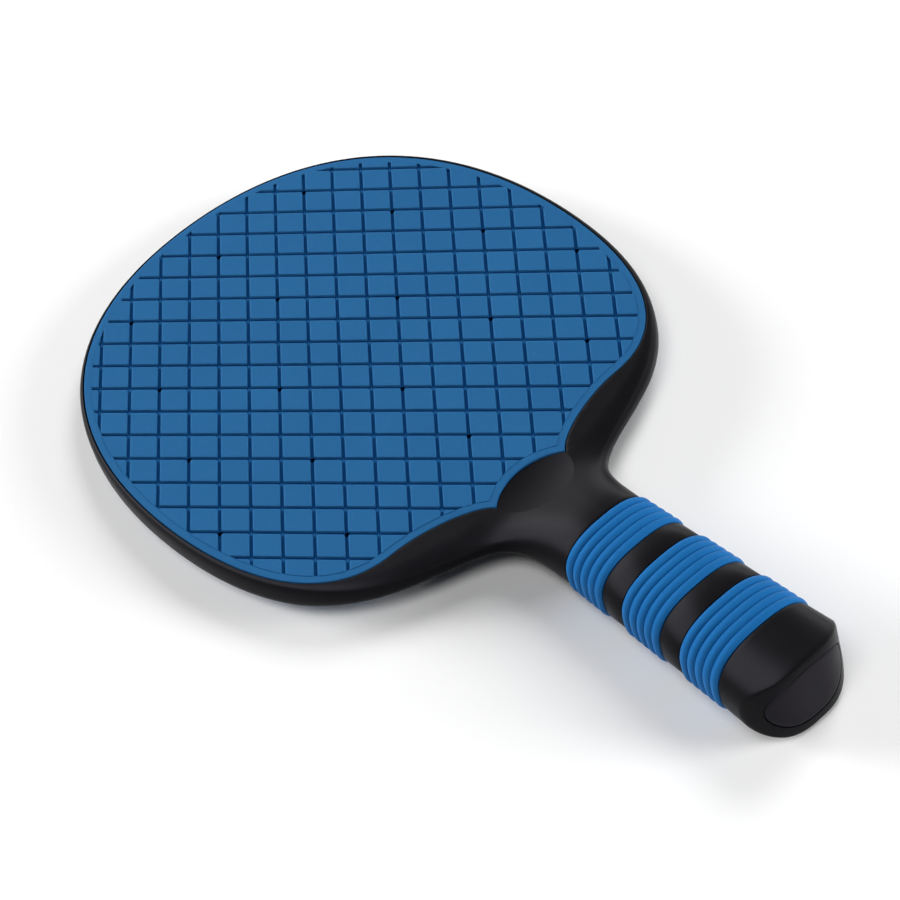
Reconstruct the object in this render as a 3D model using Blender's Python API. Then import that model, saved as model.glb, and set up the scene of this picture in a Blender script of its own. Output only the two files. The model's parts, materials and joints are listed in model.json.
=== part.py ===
"""All-weather table tennis racket, lying on its back as it rests on a table.

One moulded body carries a tiled soft sheet on each face, three ribbed grip
bands in channels round the handle, and an oval plug in the open handle end.

Racket frame, used for all sizes below: +X across the blade, +Y from the handle
to the blade tip, +Z out of the front face. Its origin is on the mid-plane, at
the blade's widest line. Lengths are in metres. The last step lays the racket
down, so that the blade tip and the handle end both touch the plane z = 0.
"""
import math

import bmesh
import bpy
from mathutils import Matrix, Vector

# Clearance between pieces that touch
GAP = 0.0003

# Face sheet outline, right half, as Bezier arcs from the tip to the thumb arc
SHEET_HALF_WIDTH = 0.07385
SHEET_TIP_REACH = 0.0850
SHEET_FULLNESS = 0.623
SHEET_SIDE_HANDLE = 0.0279
SHEET_HIP_X = 0.0405
SHEET_HIP_Y = -0.0595
SHEET_HIP_HANDLE = 0.0257
SHEET_HOLLOW_HANDLE = 0.0100
CUSP_X = 0.01245
CUSP_Y = -0.06965
CUSP_HANDLE = 0.0063
CUSP_ANGLE = math.radians(58)
THUMB_ARC_Y = -0.0646

# Face sheet thickness, tile pattern and locating-pin holes
SHEET_TOP = 0.0044
WEB_HALF_THICKNESS = 0.0017
BORDER_WIDTH = 0.0022
BORDER_DROP = 0.00015
TILE_SIDE = 0.0089
TILE_ANGLE = math.radians(76)
TILE_ROW_Y = -0.04435
GROOVE_WIDTH = 0.0010
GROOVE_DEPTH = 0.0009
GROOVE_OVERRUN = 0.0003
PIN_HOLE_RADIUS = 0.0006
PIN_HOLE_SIDES = 5
# Rows of pin holes: steps along the axis from TILE_ROW_Y, then steps across it
PIN_HOLE_ROWS = ((0, (0, 8)), (4, (0, 6, 12)), (8, (4, 10)), (12, (0, 8)), (16, (0, 6)))

# Rim of the body round the sheets
RIM_REACH = 0.00184
RIM_TIP_REACH = 0.00152
RIM_HALF_THICKNESS = 0.0042
RIM_ROUND = 0.0018
RIM_POWER = 2.8

# Shoulders, from the blade's widest line to the handle
SHOULDER_SIDE_HANDLE = 0.0316
SHOULDER_OUT = 0.00237
SHOULDER_DOWN = 0.00777
SHOULDER_ANGLE = math.radians(23.6)
SHOULDER_HANDLE = 0.0265
NECK_HANDLE = 0.0251
NECK_RISE_START = -0.0710
NECK_ROUND_START = -0.0445
HANDLE_START = -0.0975
HANDLE_START_HANDLE = 0.0231

# Thumb rest, a round dish on each side of the neck
THUMB_RADIUS = 0.0125
THUMB_CENTRE_UP = 0.0012
THUMB_FLOOR = 0.00377
THUMB_BLADE_RISE = 0.00189
THUMB_HANDLE_RISE = 0.00145
THUMB_SIDE_RISE = 0.00031
THUMB_WALL_TOP = 0.0092
THUMB_WALL_SPREAD = 0.0012

# Handle: an oval tube that widens to its end
HANDLE_START_HALF_WIDTH = 0.01444
HANDLE_START_HALF_THICKNESS = 0.0103
HANDLE_END_HALF_WIDTH = 0.01675
HANDLE_END_HALF_THICKNESS = 0.0125
HANDLE_POWER = 2.53
BUTT_LENGTH = 0.0164
BUTT_DROP = 0.0084
BUTT_POWER = 3.17
BUTT_EDGE = 0.0008

# Grip bands and the channels that hold them
BAND_COUNT = 3
BAND_FIRST_OFFSET = 0.0011
BAND_GAP = 0.00725
RIB_COUNT = 5
RIB_PITCH = 0.00293
RIB_PROUD = 0.0006
RIB_DEPTH = 0.0007
RIB_CREST_SHARE = 0.4
CHANNEL_DEPTH = 0.0012

# Handle bore and the plug that closes it
PLUG_HALF_WIDTH = 0.0133
PLUG_HALF_HEIGHT = 0.0095
PLUG_POWER = 2.1
PLUG_DEPTH = 0.0110
PLUG_FACE = 0.0024
PLUG_WALL = 0.0018
BORE_STEP = 0.0014
BORE_DEPTH = 0.0680
BORE_TAPER = 0.0022

# Facets
TIP_STEPS = 12
SIDE_STEPS = 9
HOLLOW_STEPS = 6
THUMB_ARC_STEPS = 3
SHOULDER_STEPS = 8
NECK_STEPS = 9
SECTION_STEPS = 6
RIM_STEPS = 4
THUMB_SIDES = 28
THUMB_RINGS = 2

# Positions that follow from the sizes above
RAD_QUARTER = math.pi / 2
BAND_WIDTH = RIB_COUNT * RIB_PITCH
BAND_STARTS = [
    HANDLE_START - BAND_FIRST_OFFSET - k * (BAND_WIDTH + BAND_GAP) for k in range(BAND_COUNT)
]
HANDLE_END = BAND_STARTS[-1] - BAND_WIDTH - BUTT_LENGTH
THUMB_ARC_SAG = THUMB_ARC_Y - CUSP_Y
THUMB_ARC_RADIUS = (CUSP_X ** 2 + THUMB_ARC_SAG ** 2) / (2 * THUMB_ARC_SAG)
THUMB_ARC_CENTRE_Y = THUMB_ARC_Y - THUMB_ARC_RADIUS
GROOVE_PITCH = TILE_SIDE * math.sin(TILE_ANGLE)
TILE_STEP_X = TILE_SIDE * math.sin(TILE_ANGLE / 2)
TILE_STEP_Y = TILE_SIDE * math.cos(TILE_ANGLE / 2)

# Linear colours with roughness
BODY_BLACK = ((0.0130, 0.0120, 0.0145, 1.0), 0.42)
SHEET_BLUE = ((0.0190, 0.1160, 0.2750, 1.0), 0.62)
BAND_BLUE = ((0.0160, 0.1500, 0.4300, 1.0), 0.55)
PLUG_BLACK = ((0.0160, 0.0150, 0.0180, 1.0), 0.38)


def clear_scene():
    """Remove every object that is already in the file."""
    for old in list(bpy.data.objects):
        bpy.data.objects.remove(old, do_unlink=True)


def make_material(name, finish):
    """Return a plastic material of one colour and roughness."""
    colour, roughness = finish
    material = bpy.data.materials.new(name)
    material.use_nodes = True
    shader = material.node_tree.nodes["Principled BSDF"]
    shader.inputs["Base Color"].default_value = colour
    shader.inputs["Roughness"].default_value = roughness
    shader.inputs["Metallic"].default_value = 0.0
    material.diffuse_color = colour
    return material


def add_object(name, mesh_builder, material=None):
    """Turn a bmesh into a named object, smooth but for its sharp edges."""
    mesh = bpy.data.meshes.new(name)
    mesh_builder.to_mesh(mesh)
    mesh_builder.free()
    if material is not None:
        mesh.materials.append(material)
        mesh.shade_smooth()
        mesh.set_sharp_from_angle(angle=math.radians(35))
    new_object = bpy.data.objects.new(name, mesh)
    bpy.context.scene.collection.objects.link(new_object)
    return new_object


def add_tool(name, mesh_builder):
    """Add a shape that only cuts others, left out of the finished racket."""
    tool = add_object(name, mesh_builder)
    tool.hide_render = True
    tool.display_type = "WIRE"
    return tool


def add_boolean(target, tool, operation="DIFFERENCE"):
    """Cut, join or limit the target with a tool."""
    modifier = target.modifiers.new(tool.name, "BOOLEAN")
    modifier.operation = operation
    modifier.solver = "EXACT"
    modifier.object = tool
    return modifier


def bezier(start, start_handle, end_handle, end, steps):
    """Points of a cubic arc, from its start up to but not with its end."""
    points = []
    for k in range(steps):
        t = k / steps
        s = 1 - t
        points.append(
            Vector(start) * s ** 3
            + Vector(start_handle) * 3 * s * s * t
            + Vector(end_handle) * 3 * s * t * t
            + Vector(end) * t ** 3
        )
    return points


def outward_normals(points):
    """Unit normals of a right-half outline that runs from the tip downwards."""
    normals = []
    last = len(points) - 1
    for k in range(len(points)):
        along = points[min(k + 1, last)] - points[max(k - 1, 0)]
        normals.append(Vector((-along.y, along.x)).normalized())
    normals[0] = Vector((0.0, 1.0))
    return normals


def oval_point(half_width, height, power, angle):
    """Point of a rounded-box oval at an angle of 0 (side) to 90 degrees (top)."""
    across = math.copysign(abs(math.cos(angle)) ** (2 / power), math.cos(angle))
    up = math.copysign(abs(math.sin(angle)) ** (2 / power), math.sin(angle))
    if abs(math.cos(angle)) < 1e-9:
        across = 0.0
    if abs(math.sin(angle)) < 1e-9:
        up = 0.0
    return half_width * across, height * up


def smooth_step(t):
    """Ease from 0 to 1."""
    t = min(max(t, 0.0), 1.0)
    return t * t * (3 - 2 * t)


# Face sheet


def sheet_side():
    """Right half of the sheet's edge, from its tip to the cusp beside the thumb arc."""
    width, tip = SHEET_HALF_WIDTH, SHEET_TIP_REACH
    hip = (SHEET_HIP_X, SHEET_HIP_Y)
    cusp = (CUSP_X, CUSP_Y)
    points = bezier(
        (0, tip), (width * SHEET_FULLNESS, tip), (width, tip * SHEET_FULLNESS), (width, 0), TIP_STEPS
    )
    points += bezier(
        (width, 0), (width, -SHEET_SIDE_HANDLE), (hip[0] + SHEET_HIP_HANDLE, hip[1]), hip, SIDE_STEPS
    )
    cusp_handle = (
        cusp[0] + CUSP_HANDLE * math.cos(CUSP_ANGLE),
        cusp[1] + CUSP_HANDLE * math.sin(CUSP_ANGLE),
    )
    points += bezier(hip, (hip[0] - SHEET_HOLLOW_HANDLE, hip[1]), cusp_handle, cusp, HOLLOW_STEPS)
    points.append(Vector(cusp))
    return points


def sheet_half_outline(inset):
    """Right half of the sheet's outline, moved inwards by inset, from tip to thumb arc."""
    side = sheet_side()
    normals = outward_normals(side)
    normals[-1] = (side[-1] - side[-2]).normalized()
    normals[-1] = Vector((-normals[-1].y, normals[-1].x))
    radius = THUMB_ARC_RADIUS + inset
    centre = Vector((0.0, THUMB_ARC_CENTRE_Y))
    moved = [point - normal * inset for point, normal in zip(side, normals)]
    kept = [point for point in moved if (point - centre).length >= radius]
    if inset > 0:
        corner = centre + (kept[-1] - centre).normalized() * radius
    else:
        arc_normal = (side[-1] - centre).normalized()
        corner = side[-1] + corner_shift(normals[-1], -arc_normal) * -inset
    kept.append(corner)
    end_angle = math.atan2(corner.x, corner.y - centre.y)
    if inset < 0:
        end_angle = math.atan2(side[-1].x, side[-1].y - centre.y)
        kept.append(centre + Vector((math.sin(end_angle), math.cos(end_angle))) * radius)
    for k in range(THUMB_ARC_STEPS - 1, -1, -1):
        angle = end_angle * k / THUMB_ARC_STEPS
        kept.append(centre + Vector((math.sin(angle), math.cos(angle))) * radius)
    return kept


def corner_shift(first_normal, second_normal):
    """How far a sharp corner moves when both its edges move out by one unit."""
    return (first_normal + second_normal) / (1 + first_normal.dot(second_normal))


def both_halves(half):
    """Close a right-half outline with its mirror image, anticlockwise from above."""
    left = [Vector((-point.x, point.y)) for point in half[1:-1]]
    return list(half[::-1]) + left


def stack_loops(loops):
    """Closed solid from outlines of (points, height), each the same length."""
    builder = bmesh.new()
    rings = []
    for points, height in loops:
        rings.append([builder.verts.new((point.x, point.y, height)) for point in points])
    for lower, upper in zip(rings, rings[1:]):
        count = len(lower)
        for k in range(count):
            n = (k + 1) % count
            builder.faces.new((lower[k], lower[n], upper[n], upper[k]))
    builder.faces.new(rings[0][::-1])
    builder.faces.new(rings[-1])
    bmesh.ops.recalc_face_normals(builder, faces=builder.faces)
    return builder


def prism(points, low, high):
    """Straight-sided solid over an outline."""
    return stack_loops([(points, low), (points, high)])


def groove_bars(lean):
    """One family of parallel V-shaped bars that cut the grooves, leaning from +Y."""
    builder = bmesh.new()
    along = Vector((math.sin(lean), math.cos(lean), 0.0))
    across = Vector((along.y, -along.x, 0.0))
    start = Vector((0.0, TILE_ROW_Y, 0.0))
    reach = SHEET_TIP_REACH + SHEET_HALF_WIDTH
    count = int(reach / GROOVE_PITCH) + 1
    section = (
        (0.0, SHEET_TOP - GROOVE_DEPTH),
        (GROOVE_WIDTH, SHEET_TOP + GROOVE_DEPTH),
        (-GROOVE_WIDTH, SHEET_TOP + GROOVE_DEPTH),
    )
    for k in range(-count, count + 1):
        middle = start + across * (k * GROOVE_PITCH)
        middle -= along * middle.dot(along)
        rings = []
        for end in (-reach, reach):
            rings.append([middle + along * end + across * x + Vector((0, 0, z)) for x, z in section])
        bottom, top = bridge_rings(builder, rings)
        builder.faces.new(bottom)
        builder.faces.new(top[::-1])
    bmesh.ops.recalc_face_normals(builder, faces=builder.faces)
    return builder


def prism_faces(builder, points, low, high):
    """Add one closed prism to a bmesh that already holds others."""
    lower = [builder.verts.new((point.x, point.y, low)) for point in points]
    upper = [builder.verts.new((point.x, point.y, high)) for point in points]
    count = len(points)
    faces = [builder.faces.new(lower[::-1]), builder.faces.new(upper)]
    for k in range(count):
        n = (k + 1) % count
        faces.append(builder.faces.new((lower[k], lower[n], upper[n], upper[k])))
    return faces


def pin_hole_places():
    """Groove crossings where the mould's locating pins leave a hole."""
    places = []
    for row, columns in PIN_HOLE_ROWS:
        y = TILE_ROW_Y + row * TILE_STEP_Y
        for column in columns:
            x = column * TILE_STEP_X
            places.append((x, y))
            if column:
                places.append((-x, y))
    return places


def pin_hole_pegs():
    """Pegs that cut the pin holes right through a sheet."""
    builder = bmesh.new()
    for x, y in pin_hole_places():
        points = []
        for k in range(PIN_HOLE_SIDES):
            angle = 2 * math.pi * k / PIN_HOLE_SIDES
            spoke = Vector((math.cos(angle), math.sin(angle)))
            points.append(Vector((x, y)) + spoke * PIN_HOLE_RADIUS)
        prism_faces(builder, points, 0.0, SHEET_TOP + GROOVE_DEPTH)
    bmesh.ops.recalc_face_normals(builder, faces=builder.faces)
    return builder


def sheet_mesh(material):
    """Tiled sheet: a plain border round a field that crossing grooves cut into tiles."""
    outer = both_halves(sheet_half_outline(0.0))
    field = both_halves(sheet_half_outline(BORDER_WIDTH))
    grooved = both_halves(sheet_half_outline(BORDER_WIDTH - GROOVE_OVERRUN))
    base = WEB_HALF_THICKNESS + GAP
    border_top = SHEET_TOP - BORDER_DROP
    plate = add_object("sheet_plate", prism(outer, base, border_top), material)
    raised = add_tool("sheet_field", prism(field, border_top - GROOVE_DEPTH / 2, SHEET_TOP))
    limit = add_tool("groove_limit", prism(grooved, base, SHEET_TOP + GROOVE_DEPTH / 2))
    grooves = add_tool("grooves_right", groove_bars(TILE_ANGLE / 2))
    others = add_tool("grooves_left", groove_bars(-TILE_ANGLE / 2))
    pegs = add_tool("pin_pegs", pin_hole_pegs())
    add_boolean(grooves, others, "UNION")
    add_boolean(grooves, limit, "INTERSECT")
    add_boolean(plate, raised, "UNION")
    add_boolean(plate, grooves)
    add_boolean(plate, pegs)
    depsgraph = bpy.context.evaluated_depsgraph_get()
    mesh = bpy.data.meshes.new_from_object(plate.evaluated_get(depsgraph))
    mesh.name = "face_sheet"
    for spent in (plate, raised, limit, grooves, others, pegs):
        bpy.data.objects.remove(spent, do_unlink=True)
    return mesh


def build_sheets(material):
    """Front and back sheets, the back one turned over about the racket's length."""
    mesh = sheet_mesh(material)
    sheets = []
    for name, turn in (("front_face_sheet", 0.0), ("back_face_sheet", math.pi)):
        sheet = bpy.data.objects.new(name, mesh)
        sheet.rotation_euler = (0.0, turn, 0.0)
        bpy.context.scene.collection.objects.link(sheet)
        sheets.append(sheet)
    return sheets


# Moulded body


def body_half_outline():
    """Right half of the body's widest outline, from the blade tip to the handle."""
    width = SHEET_HALF_WIDTH + RIM_REACH
    tip = SHEET_TIP_REACH + RIM_TIP_REACH
    shoulder = Vector((SHEET_HIP_X + SHOULDER_OUT, SHEET_HIP_Y - SHOULDER_DOWN))
    slope = Vector((math.cos(SHOULDER_ANGLE), math.sin(SHOULDER_ANGLE)))
    handle = Vector((HANDLE_START_HALF_WIDTH, HANDLE_START))
    points = bezier(
        (0, tip), (width * SHEET_FULLNESS, tip), (width, tip * SHEET_FULLNESS), (width, 0), TIP_STEPS
    )
    points += bezier(
        (width, 0), (width, -SHOULDER_SIDE_HANDLE), shoulder + slope * SHOULDER_HANDLE, shoulder,
        SHOULDER_STEPS,
    )
    points += bezier(
        shoulder, shoulder - slope * NECK_HANDLE, handle + Vector((0, HANDLE_START_HANDLE)), handle,
        NECK_STEPS,
    )
    points.append(handle)
    return points


def handle_section(y):
    """Half width and half thickness of the handle at a station."""
    share = (y - HANDLE_START) / (HANDLE_END - HANDLE_START)
    width = HANDLE_START_HALF_WIDTH + share * (HANDLE_END_HALF_WIDTH - HANDLE_START_HALF_WIDTH)
    thickness = HANDLE_START_HALF_THICKNESS + share * (
        HANDLE_END_HALF_THICKNESS - HANDLE_START_HALF_THICKNESS
    )
    return width, thickness


def blade_row(edge, normal):
    """Points of the top surface from the outline to the middle line, blade and neck."""
    middle = Vector((0.0, edge.y * 0.7 if edge.y > 0 else edge.y))
    inward = middle - edge
    length = inward.length
    inward.normalize()
    rise = smooth_step((NECK_RISE_START - edge.y) / (NECK_RISE_START - HANDLE_START))
    bulge = smooth_step((NECK_ROUND_START - edge.y) / (NECK_ROUND_START - HANDLE_START))
    height = RIM_HALF_THICKNESS + (HANDLE_START_HALF_THICKNESS - RIM_HALF_THICKNESS) * rise
    power = RIM_POWER + (HANDLE_POWER - RIM_POWER) * bulge
    reach = RIM_ROUND + (HANDLE_START_HALF_WIDTH - RIM_ROUND) * bulge
    rounding = min(reach / max(-normal.dot(inward), 0.25), length)
    flat_steps = round((SECTION_STEPS - RIM_STEPS) * (1 - rise))
    curved = SECTION_STEPS - flat_steps
    row = []
    for k in range(SECTION_STEPS + 1):
        if k <= curved:
            share, up = oval_point(1.0, height, power, RAD_QUARTER * k / curved)
            distance = rounding * (1 - share)
        else:
            share = (k - curved) / flat_steps
            distance = rounding + (length - rounding) * share
            up = height
        place = edge + inward * distance
        row.append((0.0 if k == SECTION_STEPS else place.x, place.y, up))
    return row


def butt_curve(x, half_width):
    """How far the handle's rounded end falls back from its furthest point, at x."""
    share = min(abs(x) / half_width, 1.0)
    return BUTT_DROP * share ** BUTT_POWER


def handle_row(y, sink, bend):
    """Quarter section of the handle, sunk into its channel or bent to the rounded end."""
    half_width, half_thickness = handle_section(y)
    row = []
    for k in range(SECTION_STEPS + 1):
        angle = RAD_QUARTER * k / SECTION_STEPS
        x, z = oval_point(half_width - sink, half_thickness - sink, HANDLE_POWER, angle)
        row.append((x, y + bend * butt_curve(x, half_width), z))
    return row


def body_rows():
    """All rows of the body's upper right quarter, from the blade tip to the handle end."""
    outline = body_half_outline()
    rows = [blade_row(edge, normal) for edge, normal in zip(outline, outward_normals(outline))]
    for start in BAND_STARTS:
        end = start - BAND_WIDTH
        for y, sink in ((start, 0.0), (start, CHANNEL_DEPTH), (end, CHANNEL_DEPTH), (end, 0.0)):
            rows.append(handle_row(y, sink, 0.0))
    last_band = BAND_STARTS[-1] - BAND_WIDTH
    for share in (0.35, 0.7):
        rows.append(handle_row(last_band + (HANDLE_END - last_band) * share, 0.0, share))
    rows.append(handle_row(HANDLE_END + BUTT_EDGE, 0.0, 1.0))
    corner = 1 - math.sqrt(0.5)
    rows.append(handle_row(HANDLE_END + BUTT_EDGE * corner, BUTT_EDGE * corner, 1.0))
    rows.append(handle_row(HANDLE_END, BUTT_EDGE, 1.0))
    rows.append([(x, y, 0.0) for x, y, z in rows[-1]])
    return rows


def body_quarter():
    """Loft the upper right quarter of the body from its rows."""
    builder = bmesh.new()
    rings = [[builder.verts.new(point) for point in row] for row in body_rows()]
    for first, second in zip(rings, rings[1:]):
        for k in range(SECTION_STEPS):
            builder.faces.new((first[k], second[k], second[k + 1], first[k + 1]))
    bmesh.ops.remove_doubles(builder, verts=builder.verts, dist=1e-7)
    bmesh.ops.recalc_face_normals(builder, faces=builder.faces)
    for face in builder.faces:
        if face.calc_center_median().z > RIM_HALF_THICKNESS / 2:
            if face.normal.z < 0:
                bmesh.ops.reverse_faces(builder, faces=builder.faces)
            break
    return builder


def dish_point(centre, share, angle):
    """Point of the thumb rest's floor, at a share of its radius and a turn from the blade."""
    across = math.sin(angle) * share
    along = math.cos(angle) * share
    rise = (THUMB_BLADE_RISE + THUMB_HANDLE_RISE) / 2 * along ** 2
    rise += (THUMB_BLADE_RISE - THUMB_HANDLE_RISE) / 2 * along
    rise += THUMB_SIDE_RISE * across ** 2
    return centre + Vector((across * THUMB_RADIUS, along * THUMB_RADIUS, THUMB_FLOOR + rise))


def thumb_scoop():
    """Dish-shaped tool: a curved floor inside a round, slightly leaning wall."""
    centre = Vector((0.0, CUSP_Y + THUMB_CENTRE_UP, 0.0))
    angles = [2 * math.pi * k / THUMB_SIDES for k in range(THUMB_SIDES)]
    rings = []
    for k in range(1, THUMB_RINGS + 1):
        rings.append([dish_point(centre, k / THUMB_RINGS, angle) for angle in angles])
    mouth = THUMB_RADIUS + THUMB_WALL_SPREAD
    rings.append([
        centre + Vector((math.sin(angle) * mouth, math.cos(angle) * mouth, THUMB_WALL_TOP))
        for angle in angles
    ])
    builder = bmesh.new()
    made = bridge_rings(builder, rings)
    middle = builder.verts.new(dish_point(centre, 0.0, 0.0))
    for k in range(THUMB_SIDES):
        builder.faces.new((middle, made[0][k], made[0][(k + 1) % THUMB_SIDES]))
    builder.faces.new(made[-1])
    bmesh.ops.recalc_face_normals(builder, faces=builder.faces)
    return builder


def oval_ring(half_width, half_height, power, y_of_x):
    """Closed ring of points across the racket's length, at y given by a function of x."""
    points = []
    for k in range(4 * SECTION_STEPS):
        x, z = oval_point(half_width, half_height, power, RAD_QUARTER * k / SECTION_STEPS)
        points.append(Vector((x, y_of_x(x), z)))
    return points


def bridge_rings(builder, rings):
    """Skin the gap between each ring and the next."""
    made = [[builder.verts.new(point) for point in ring] for ring in rings]
    for first, second in zip(made, made[1:]):
        count = len(first)
        for k in range(count):
            n = (k + 1) % count
            builder.faces.new((first[k], first[n], second[n], second[k]))
    return made


def close_ring(builder, ring):
    """Cover a ring with upright strips, so that the cover follows the rounded end."""
    count = len(ring)
    half = count // 2
    for k in range(half):
        upper = ring[k], ring[k + 1]
        lower = ring[(count - k) % count], ring[count - k - 1]
        corners = [upper[0], upper[1], lower[1], lower[0]]
        face = list(dict.fromkeys(corners))
        if len(face) > 2:
            builder.faces.new(face)


def bore_tool():
    """Tool for the handle's bore: a straight seat for the plug, a ledge, and a taper."""
    seat = HANDLE_END + PLUG_DEPTH + GAP
    narrow_width = PLUG_HALF_WIDTH - BORE_STEP
    narrow_height = PLUG_HALF_HEIGHT - BORE_STEP
    outside = HANDLE_END - BUTT_EDGE
    bottom = HANDLE_END + BORE_DEPTH
    sections = [
        (PLUG_HALF_WIDTH, PLUG_HALF_HEIGHT, outside),
        (PLUG_HALF_WIDTH, PLUG_HALF_HEIGHT, seat),
        (narrow_width, narrow_height, seat),
        (narrow_width - BORE_TAPER, narrow_height - BORE_TAPER, bottom),
    ]
    builder = bmesh.new()
    rings = [oval_ring(w, h, PLUG_POWER, lambda x, y=y: y) for w, h, y in sections]
    made = bridge_rings(builder, rings)
    builder.faces.new(made[0])
    builder.faces.new(made[-1][::-1])
    bmesh.ops.recalc_face_normals(builder, faces=builder.faces)
    return builder


def build_body(material):
    """Body: mirrored loft with both sheet trays, both thumb rests and the bore cut in."""
    body = add_object("moulded_body", body_quarter(), material)
    mirror = body.modifiers.new("halves", "MIRROR")
    mirror.use_axis = (True, False, True)
    mirror.use_clip = True
    mirror.merge_threshold = 0.00001
    tray = both_halves(sheet_half_outline(-GAP))
    tool_height = RIM_HALF_THICKNESS + SHEET_TOP
    for name, turn in (("front", 0.0), ("back", math.pi)):
        tray_tool = add_tool("tray_" + name, prism(tray, WEB_HALF_THICKNESS, tool_height))
        scoop = add_tool("thumb_" + name, thumb_scoop())
        for tool in (tray_tool, scoop):
            tool.rotation_euler = (0.0, turn, 0.0)
            add_boolean(body, tool)
    add_boolean(body, add_tool("handle_bore", bore_tool()))
    return body


# Grip bands and end plug


def rib_profile():
    """Share of the band's width and height above the black handle, along one band."""
    profile = []
    edge = (1 - RIB_CREST_SHARE) / 2
    for rib in range(RIB_COUNT):
        profile.append((rib, RIB_PROUD - RIB_DEPTH))
        profile.append((rib + edge, RIB_PROUD))
        profile.append((rib + 1 - edge, RIB_PROUD))
    profile.append((RIB_COUNT, RIB_PROUD - RIB_DEPTH))
    return [(place / RIB_COUNT, height) for place, height in profile]


def band_builder(start):
    """Ribbed band round the handle, seated in its channel."""
    first = start - GAP
    length = BAND_WIDTH - 2 * GAP
    rings = []
    for share, height in rib_profile():
        y = first - length * share
        width, thickness = handle_section(y)
        rings.append(oval_ring(width + height, thickness + height, HANDLE_POWER, lambda x, y=y: y))
    seat = CHANNEL_DEPTH - GAP
    for y in (first - length, first):
        width, thickness = handle_section(y)
        rings.append(oval_ring(width - seat, thickness - seat, HANDLE_POWER, lambda x, y=y: y))
    builder = bmesh.new()
    made = bridge_rings(builder, rings)
    count = len(made[0])
    for k in range(count):
        n = (k + 1) % count
        builder.faces.new((made[-1][k], made[-1][n], made[0][n], made[0][k]))
    bmesh.ops.recalc_face_normals(builder, faces=builder.faces)
    return builder


def build_bands(material):
    """The grip bands, from the neck to the handle end."""
    names = ["grip_band_%d" % (k + 1) for k in range(BAND_COUNT)]
    return [add_object(name, band_builder(start), material) for name, start in zip(names, BAND_STARTS)]


def build_plug(material):
    """Cup-shaped plug: its face follows the handle's rounded end, its skirt fills the seat."""
    half_width, _ = handle_section(HANDLE_END)
    width, height = PLUG_HALF_WIDTH - GAP, PLUG_HALF_HEIGHT - GAP
    rim = HANDLE_END + PLUG_DEPTH
    rings = [
        oval_ring(width, height, PLUG_POWER, lambda x: HANDLE_END + butt_curve(x, half_width)),
        oval_ring(width, height, PLUG_POWER, lambda x: rim),
        oval_ring(width - PLUG_WALL, height - PLUG_WALL, PLUG_POWER, lambda x: rim),
        oval_ring(
            width - PLUG_WALL, height - PLUG_WALL, PLUG_POWER,
            lambda x: HANDLE_END + PLUG_FACE + butt_curve(x, half_width),
        ),
    ]
    builder = bmesh.new()
    made = bridge_rings(builder, rings)
    close_ring(builder, made[0])
    close_ring(builder, made[-1])
    bmesh.ops.recalc_face_normals(builder, faces=builder.faces)
    return add_object("handle_end_plug", builder, material)


# Rest pose


def side_points(objects):
    """Every point of the finished pieces, seen from the side as (y, z)."""
    depsgraph = bpy.context.evaluated_depsgraph_get()
    points = []
    for item in objects:
        evaluated = item.evaluated_get(depsgraph)
        for vertex in evaluated.data.vertices:
            place = evaluated.matrix_world @ vertex.co
            points.append((place.y, place.z))
    return points


def rest_transform(objects):
    """Turn and lift that lay the racket on z = 0, touching at blade and handle end."""
    points = side_points(objects)
    blade = [point for point in points if point[0] > 0]
    handle = [point for point in points if point[0] <= 0]
    tilt = 0.0
    for _ in range(20):
        low_blade = min(blade, key=lambda p: p[0] * math.sin(tilt) + p[1] * math.cos(tilt))
        low_handle = min(handle, key=lambda p: p[0] * math.sin(tilt) + p[1] * math.cos(tilt))
        tilt = math.atan2(low_handle[1] - low_blade[1], low_blade[0] - low_handle[0])
    heights = [y * math.sin(tilt) + z * math.cos(tilt) for y, z in points]
    lengths = [y * math.cos(tilt) - z * math.sin(tilt) for y, z in points]
    middle = (min(lengths) + max(lengths)) / 2
    return tilt, Vector((0.0, -middle, -min(heights)))


def build_racket():
    """Build every piece, then lay the racket down under one empty."""
    clear_scene()
    body_black = make_material("body_black", BODY_BLACK)
    sheet_blue = make_material("sheet_blue", SHEET_BLUE)
    band_blue = make_material("band_blue", BAND_BLUE)
    plug_black = make_material("plug_black", PLUG_BLACK)
    pieces = [build_body(body_black)]
    pieces += build_sheets(sheet_blue)
    pieces += build_bands(band_blue)
    pieces.append(build_plug(plug_black))
    tools = [item for item in bpy.data.objects if item.hide_render]
    bpy.context.view_layer.update()
    tilt, lift = rest_transform(pieces)
    rest = bpy.data.objects.new("rest_pose", None)
    rest.rotation_euler = (tilt, 0.0, 0.0)
    rest.location = lift
    bpy.context.scene.collection.objects.link(rest)
    for item in pieces + tools:
        item.parent = rest
    bpy.context.view_layer.update()
    print("rest tilt %.3f degrees" % math.degrees(tilt))


build_racket()
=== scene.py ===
"""Finished look of an all-weather table tennis racket, lying on its back on a table.

Racket frame, used for every size below: +X across the blade, +Y from the handle
to the blade tip, +Z out of the front face. Its origin is on the mid-plane, at
the blade's widest line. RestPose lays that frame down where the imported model
lies. Lengths are in metres, colours are linear.
"""
import json
import logging
import math
from dataclasses import dataclass
from enum import Enum
from functools import partialmethod

import bmesh
import bpy
from mathutils import Matrix, Vector

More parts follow.
